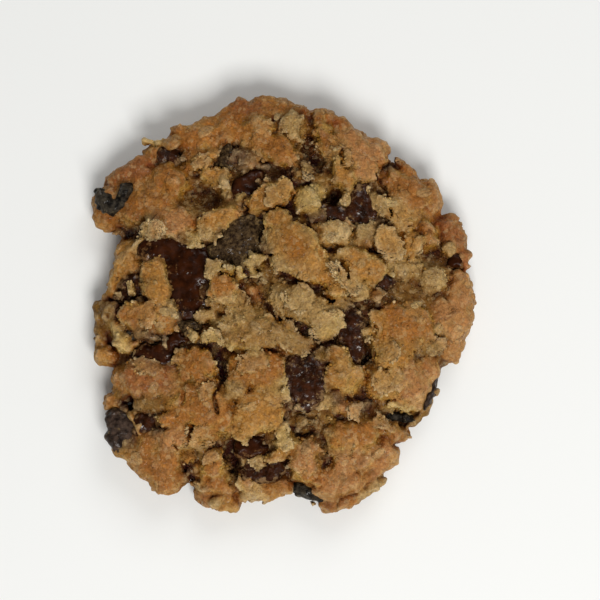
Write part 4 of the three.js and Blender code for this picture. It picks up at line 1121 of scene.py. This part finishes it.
def make_oats(dough):
    """Rolled oats pressed into the dough's skin, all of them one piece.

    Each is a low lens over a ragged oval, with a crease along it, that lies on the ground under it. Where
    that ground is uneven there is none.
    """
    rng = np.random.default_rng(11)
    angle = rng.uniform(0, 2 * math.pi, STREWN_OATS)
    share = np.sqrt(rng.uniform(0.01, 0.86, STREWN_OATS))
    reach, long = share * rim(np.cos(angle), np.sin(angle)), rng.uniform(1.0, 2.1, STREWN_OATS)
    wide, turn = long * rng.uniform(0.55, 0.75, STREWN_OATS), rng.uniform(0, 360, STREWN_OATS)
    strewn = np.stack([reach * np.cos(angle), reach * np.sin(angle), long, wide, turn], axis=1)
    strewn = strewn[[on_chocolate(x, y, 0.4) is None for x, y in strewn[:, :2]]]
    oats = np.vstack([OATS, strewn])
    x, y, long, wide, turn = oats.T[:, :, None]
    ends = [1] + [OAT_SPOKES] * OAT_ROWS + [1]
    ring, lift = (np.repeat(v, ends)[None] for v in OAT_PROFILE)
    spoke = np.concatenate([[0], np.tile(np.arange(OAT_SPOKES), OAT_ROWS), [0]])[None]
    spoke = spoke / OAT_SPOKES * 2 * math.pi
    number = np.arange(len(oats))[:, None] * 3.7
    ragged = 1 + 0.16 * noise(np.cos(spoke) * 1.7 + number, np.sin(spoke) * 1.7, np.float32(6)) * ring
    p, q = ring * np.cos(spoke) * ragged, ring * np.sin(spoke) * ragged
    c, s = np.cos(np.radians(turn)), np.sin(np.radians(turn))
    wx, wy = x + p * long * c - q * wide * s, y + p * long * s + q * wide * c
    ground = dough.height_at(wx, wy)
    fall = [
        (dough.height_at(x + u, y + v) - dough.height_at(x - u, y - v)) / (2 * OAT_STEP)
        for u, v in ((OAT_STEP, 0), (0, OAT_STEP))
    ]
    fall = np.clip(fall, -STEEPEST, STEEPEST)
    level = np.median(ground, axis=1)[:, None] + fall[0] * (wx - x) + fall[1] * (wy - y)
    even = np.std(ground - level, axis=1) < OAT_UNEVEN
    pressed = 0.7 * np.clip(ground - level, -0.3, 0.5)
    level = level + pressed + 0.12 * noise(wx / 1.3, wy / 1.3, number + 0.5) + 0.06
    crease = 0.16 * np.exp(-((q / 0.16) ** 2)) * (lift > 0.1)
    lenses = np.stack([wx, wy, np.minimum(level + lift - crease, HIGHEST)], axis=-1)[even]
    faces = copies(turned_faces(OAT_ROWS, OAT_SPOKES), lenses)
    piece = make_mesh("rolled_oats", lenses.reshape(-1, 3), faces)
    pale = linear(ROLLED_OAT)[0] * (1 + 0.2 * noise(number, 0 * number, 0 * number + 0.5))[..., None]
    mixed = np.where(np.arange(len(oats)) < len(OATS), 0.36, 0.1)[:, None, None]
    px, py, pz = dough.points.T
    nearest = [np.argmin((px - u) ** 2 + (py - v) ** 2 - 0.5 * pz) for u, v in oats[:, :2]]
    under = dough.shades[nearest, None, :3]
    shade = (under + (pale - under) * mixed) * (1 + 0.14 * noise(q * 7, p * 1.5, number))[..., None]
    return piece, shade[even].reshape(-1, 3)


def icosahedron():
    """The corners of an icosahedron of radius 1, and its triangles."""
    golden = (1 + math.sqrt(5)) / 2
    corners = [np.roll((0, a, b * golden), n) for n in range(3) for a in (-1, 1) for b in (-1, 1)]
    corners = np.array(corners) / np.linalg.norm(corners[0])
    a, b, c = np.indices((12, 12, 12)).reshape(3, -1)
    three = np.stack([a, b, c], axis=1)[(a < b) & (a < c) & (b != c)]
    sides = corners[three] - corners[np.roll(three, -1, axis=1)]
    close = np.max(np.linalg.norm(sides, axis=2), axis=1) < 1.2
    return corners, three[close & (np.linalg.det(corners[three]) > 0)]


def make_crumbs(dough):
    """Grains of crumb half sunk in the dough's skin, most where it is torn, all of them one piece.

    Each is an icosahedron, squashed and turned by chance.
    """
    rng = np.random.default_rng(23)
    points, normals, shades, _ = dough
    x, y, z = points.T
    inner = np.hypot(x, y) < 0.94 * rim(x, y)
    chance = (0.15 + shades[:, 3]) * (z > 4) * (normals[:, 2] > 0.1) * inner
    chosen = rng.choice(len(points), CRUMBS, replace=False, p=chance / chance.sum())
    size = 0.15 + 0.35 * rng.uniform(0, 1, CRUMBS) ** 2
    corners, faces = icosahedron()
    turned = np.linalg.qr(rng.normal(size=(CRUMBS, 3, 3)))[0]
    turned = turned * np.sign(np.linalg.det(turned))[:, None, None]
    squashed = corners[None] * rng.uniform(0.65, 1.25, (CRUMBS, 1, 3)) * size[:, None, None]
    middles = points[chosen] + normals[chosen] * (0.15 * size)[:, None]
    placed = np.einsum("nij,ncj->nci", turned, squashed) + middles[:, None]
    piece = make_mesh("crumbs", placed.reshape(-1, 3), copies(faces, placed))
    shade = shades[chosen, :3] * rng.uniform(0.72, 1.12, (CRUMBS, 1))
    return piece, np.repeat(shade, len(corners), axis=0)


dough_material = baked_dough()
dough = make_dough(dough_material)
for make in (make_oats, make_crumbs):
    piece, shades = make(dough)
    paint(piece, "colour", np.clip(shades, 0.002, 1), 0.4)
    finish_piece(piece, dough_material, "dough")
glazes = {finish: glazed(*values) for finish, values in GLAZES.items()}
for name, (finish, lobes) in INCLUSIONS.items():
    make_inclusion(name, finish, lobes, glazes[finish])

# ---- The floor, the lights and the camera.

PHOTO_SIDE = 600  # the photograph's width and height, in pixels
PHOTO_MM = 0.2262  # one of its pixels, on the cookie
PHOTO_MIDDLE = (283, 305)  # the pixel that the cookie's middle falls on
ELEVATION = math.radians(86)
DISTANCE = 0.45
LOOK_HEIGHT = 0.003
SENSOR = 36.0
FLOOR_HALF, FLOOR_HEIGHT = 2, -1e-4
PALE_CARD = "#EAECEC"
SKY, SKY_STRENGTH = (1.0, 0.99, 0.97, 1), 0.22


def make_stage():
    """A plain pale floor and an even pale sky."""
    mesh = bpy.data.meshes.new("floor")
    turns = ((-1, -1), (1, -1), (1, 1), (-1, 1))
    corners = [(x * FLOOR_HALF, y * FLOOR_HALF, FLOOR_HEIGHT) for x, y in turns]
    mesh.from_pydata(corners, [], [(0, 1, 2, 3)])
    floor = bpy.data.objects.new("floor", mesh)
    card, tree = new_material("pale_card")
    finish_material(tree, ("Base Color", (*linear(PALE_CARD)[0], 1)), ("Roughness", 0.9))
    mesh.materials.append(card)
    bpy.context.scene.collection.objects.link(floor)
    world = bpy.data.worlds.new("pale_sky")
    world.use_nodes = True
    sky = world.node_tree.nodes["Background"].inputs
    sky["Color"].default_value, sky["Strength"].default_value = SKY, SKY_STRENGTH
    bpy.context.scene.world = world


def make_light(name, place, size, watts, shade):
    """A square soft light that faces the cookie."""
    light = bpy.data.lights.new(name, "AREA")
    light.size, light.energy, light.color = size, watts, shade
    lamp = bpy.data.objects.new(name, light)
    lamp.location = place
    lamp.rotation_mode = "QUATERNION"
    lamp.rotation_quaternion = lamp.location.to_track_quat("Z", "Y")
    bpy.context.scene.collection.objects.link(lamp)


def make_camera():
    """Looks almost straight down, from a little towards the near side, at the photograph's scale."""
    camera = bpy.data.objects.new("camera", bpy.data.cameras.new("camera"))
    camera.data.sensor_width = SENSOR
    camera.data.lens = SENSOR * DISTANCE / (PHOTO_SIDE * PHOTO_MM * MM)
    camera.data.shift_x = (PHOTO_SIDE / 2 - PHOTO_MIDDLE[0]) / PHOTO_SIDE
    camera.data.shift_y = (PHOTO_MIDDLE[1] - PHOTO_SIDE / 2) / PHOTO_SIDE
    height = LOOK_HEIGHT + DISTANCE * math.sin(ELEVATION)
    camera.location = (0, -DISTANCE * math.cos(ELEVATION), height)
    camera.rotation_euler = (math.pi / 2 - ELEVATION, 0, 0)
    camera.data.clip_start, camera.data.clip_end = 0.01, 10
    bpy.context.scene.collection.objects.link(camera)
    bpy.context.scene.camera = camera


make_stage()
make_light("near_side_softbox", (0.15, -0.58, 0.8), 0.45, 9.0, (1.0, 0.98, 0.95))
make_light("far_side_softbox", (0.3, 0.66, 0.69), 0.6, 3.0, (1.0, 0.99, 0.97))
make_camera()
bpy.context.scene.view_settings.view_transform = "Standard"
